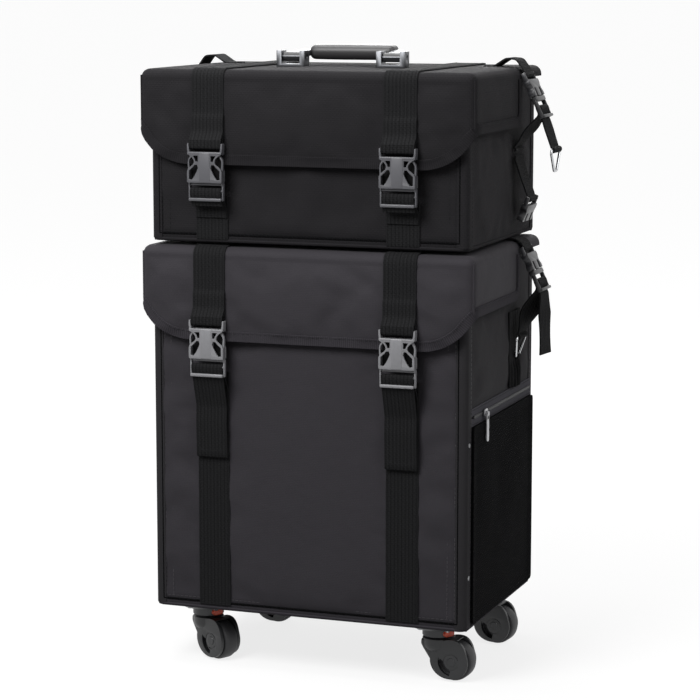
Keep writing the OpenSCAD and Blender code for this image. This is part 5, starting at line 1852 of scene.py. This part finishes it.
class CASE_OT_casters(bpy.types.Operator):
    """Casters: domed sockets, hooded forks, release tabs and wheels"""

    bl_idname = "case.casters"
    bl_label = "Casters"

    def execute(self, context):
        sockets, fork = [], caster_fork()
        rim = RIM + [(r, -h) for r, h in reversed(RIM[:-1])] + RIM[:1]
        for name, (sx, sy, angle) in CASTERS.items():
            spot, turn = Vector((sx * CASTER_X, sy * CASTER_Y, 0)), math.radians(angle)
            sockets.append(turned("socket", in_mm(SOCKET), spot, (0, 0, 1), 56))
            swivel = Matrix.Translation(spot) @ Matrix.Rotation(turn, 4, "Z")
            dress(copied(fork, f"{name}_fork_moulding", swivel), "fork", f"{name}_fork", "caster_plastic",
                  [f"{name}_fork"])
            soft_copy(f"{name}_release", "release", f"{name}_release", "red_plastic", 0.7 * MM)
            hub = spot + Vector((TRAIL * math.cos(turn), TRAIL * math.sin(turn), WHEEL_R))
            axle = (-math.sin(turn), math.cos(turn), 0)
            dress(turned(f"{name}_wheel_disc", in_mm(rim), hub, axle, 64), "tread", f"{name}_wheel", "tread",
                  [f"{name}_wheel"])
        bpy.data.objects.remove(fork)
        dress(joined("caster_socket_domes", sockets), "caster", "case", "caster_plastic", ["caster_sockets"])
        return {"FINISHED"}


class CASE_OT_pull_handle(bpy.types.Operator):
    """Pull handle: tubes, brackets, grip and button"""

    bl_idname = "case.pull_handle"
    bl_label = "Pull handle"

    def execute(self, context):
        keep("trolley_tubes", "tube")
        keep("trolley_middle_tubes", "inner_tube")
        keep("trolley_inner_tubes", "inner_tube")
        keep("case_fasteners", "screw")
        soft_copy("trolley_brackets", "abs", "case", "dark_plastic", 1 * MM, 3)
        soft_copy("trolley_grip", "grip", "trolley_inner", "dark_plastic", 1.6 * MM, 3)
        soft_copy("trolley_button", "abs", "trolley_button", "grey_plastic", 0.8 * MM, 3)
        return {"FINISHED"}


def pocket_net():
    """The pocket's net, drawn in round its edge, and the piping round it."""
    low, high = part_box("side_pocket")
    corner, inset = 5 * MM, 2 * MM
    piece = panel("side_pocket_net", low, high, corner, 4, lambda a, b: abs(a.x - b.x) > MM,
                  {axis: steps(low[axis] + corner, high[axis] - corner, GRID) for axis in (1, 2)})
    tidy()

    def rise(point, normal):
        if normal.x < 0.9:
            return 0.0
        middle = hump(point.y, low.y, high.y) ** 0.5 * hump(point.z, low.z, high.z) ** 0.5
        return -2.9 * MM + middle * (3.6 * MM + 1.6 * MM * waves(point, 11))

    swell(piece, rise)
    box_uv(piece)
    dress(piece, "net", "case", "mesh", ["side_pocket"])
    ring = hoop((low.y + inset, low.z + inset), (high.y - inset, high.z - inset),
                lambda a, b: (low.x + 1.6 * MM, a, b), 6 * MM, 10 * MM)
    dress(tube("side_pocket_piping", ring, 1.8 * MM, shut=True), "upper_binding", "case", "mesh", angle=80)


def pocket_zip():
    """The pocket's zip: two tapes, teeth that mesh from both sides, stitches, the slider and its pull."""
    low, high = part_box("pocket_zip")
    mid, gap, pitch, end = (low.z + high.z) / 2, 3 * MM, 1.25 * MM, 7 * MM
    tapes = []
    for s in (-1, 1):
        z = mid + s * (high.z - low.z + gap) / 4
        line = [Vector((low.x + 0.8 * MM, y, z)) for y in [low.y] + steps(low.y, high.y, GRID) + [high.y]]
        tapes.append(ribbon("tape", line, (0, 0, 1), (high.z - low.z - gap) / 2, 1.1 * MM, 3))
    dress(joined("pocket_zip_tape", tapes), "zip_tape", "case", "zip_tape", ["pocket_zip"])
    tooth = slab((low.x + 0.5 * MM, -0.55 * MM, mid - 2 * MM), (low.x + 2.4 * MM, 0.55 * MM, mid + 0.4 * MM),
                 0.2 * MM, 1)
    teeth, along = [], low.y + end
    while along < high.y - end:
        teeth.append(copied(tooth, "tooth", Matrix.Translation((0, along, 1.6 * MM * (len(teeth) % 2)))))
        along += pitch
    bpy.data.objects.remove(tooth)
    dress(joined("pocket_zip_teeth", teeth), "abs", "case", "zip_tape")
    rows = [([Vector((low.x + 1.5 * MM, y, z)) for y in (low.y + 3 * MM, high.y - 3 * MM)], Vector((1, 0, 0)))
            for z in (low.z + 2 * MM, high.z - 2 * MM)]
    stitches("pocket_zip_stitches", rows, "dark_thread", "case", "zip_tape")
    for part in ("zip_slider", "zip_pull"):
        soft_copy(part, "zinc", part, "zinc", 0.3 * MM)


class CASE_OT_pocket(bpy.types.Operator):
    """Side pocket of net, its bound edge and its zip"""

    bl_idname = "case.pocket"
    bl_label = "Side pocket"

    def execute(self, context):
        pocket_net()
        pocket_zip()
        return {"FINISHED"}


class CASE_OT_side_straps(bpy.types.Operator):
    """Side straps: tabs over the lids' edges, receivers, clips, straps, wire rings, patches and ties"""

    bl_idname = "case.side_straps"
    bl_label = "Side straps"

    def execute(self, context):
        for side in SIDES:
            for half in HALVES:
                side_tab(half, side)
            lower_side_strap(side)
            upper_side_strap(side)
        return {"FINISHED"}


OPERATORS = (
    CASE_OT_finishes,
    CASE_OT_stage,
    CASE_OT_bodies,
    CASE_OT_linings,
    CASE_OT_lids,
    CASE_OT_straps,
    CASE_OT_buckles,
    CASE_OT_handles,
    CASE_OT_casters,
    CASE_OT_pull_handle,
    CASE_OT_pocket,
    CASE_OT_side_straps,
)


class CASE_PT_build(bpy.types.Panel):
    """Lists the steps that dress the case, in order"""

    bl_idname = "CASE_PT_build"
    bl_label = "Rolling case"
    bl_space_type = "VIEW_3D"
    bl_region_type = "UI"
    bl_category = "Case"

    def draw(self, context):
        for group in (sizes(), colours()):
            box = self.layout.box()
            for name in group.bl_rna.properties.keys():
                if name not in ("rna_type", "name"):
                    box.prop(group, name)
        for step in OPERATORS:
            self.layout.operator(step.bl_idname)


CLASSES = (CaseSizes, CaseColours, *OPERATORS, CASE_PT_build)


def register():
    for one in CLASSES:
        bpy.utils.register_class(one)
    bpy.types.Scene.rolling_case_sizes = PointerProperty(type=CaseSizes)
    bpy.types.Scene.rolling_case_colours = PointerProperty(type=CaseColours)


def unregister():
    del bpy.types.Scene.rolling_case_sizes
    del bpy.types.Scene.rolling_case_colours
    for one in reversed(CLASSES):
        bpy.utils.unregister_class(one)


def main():
    register()
    for step in OPERATORS:
        group, name = step.bl_idname.split(".")
        getattr(getattr(bpy.ops, group), name)()


if __name__ == "__main__":
    main()
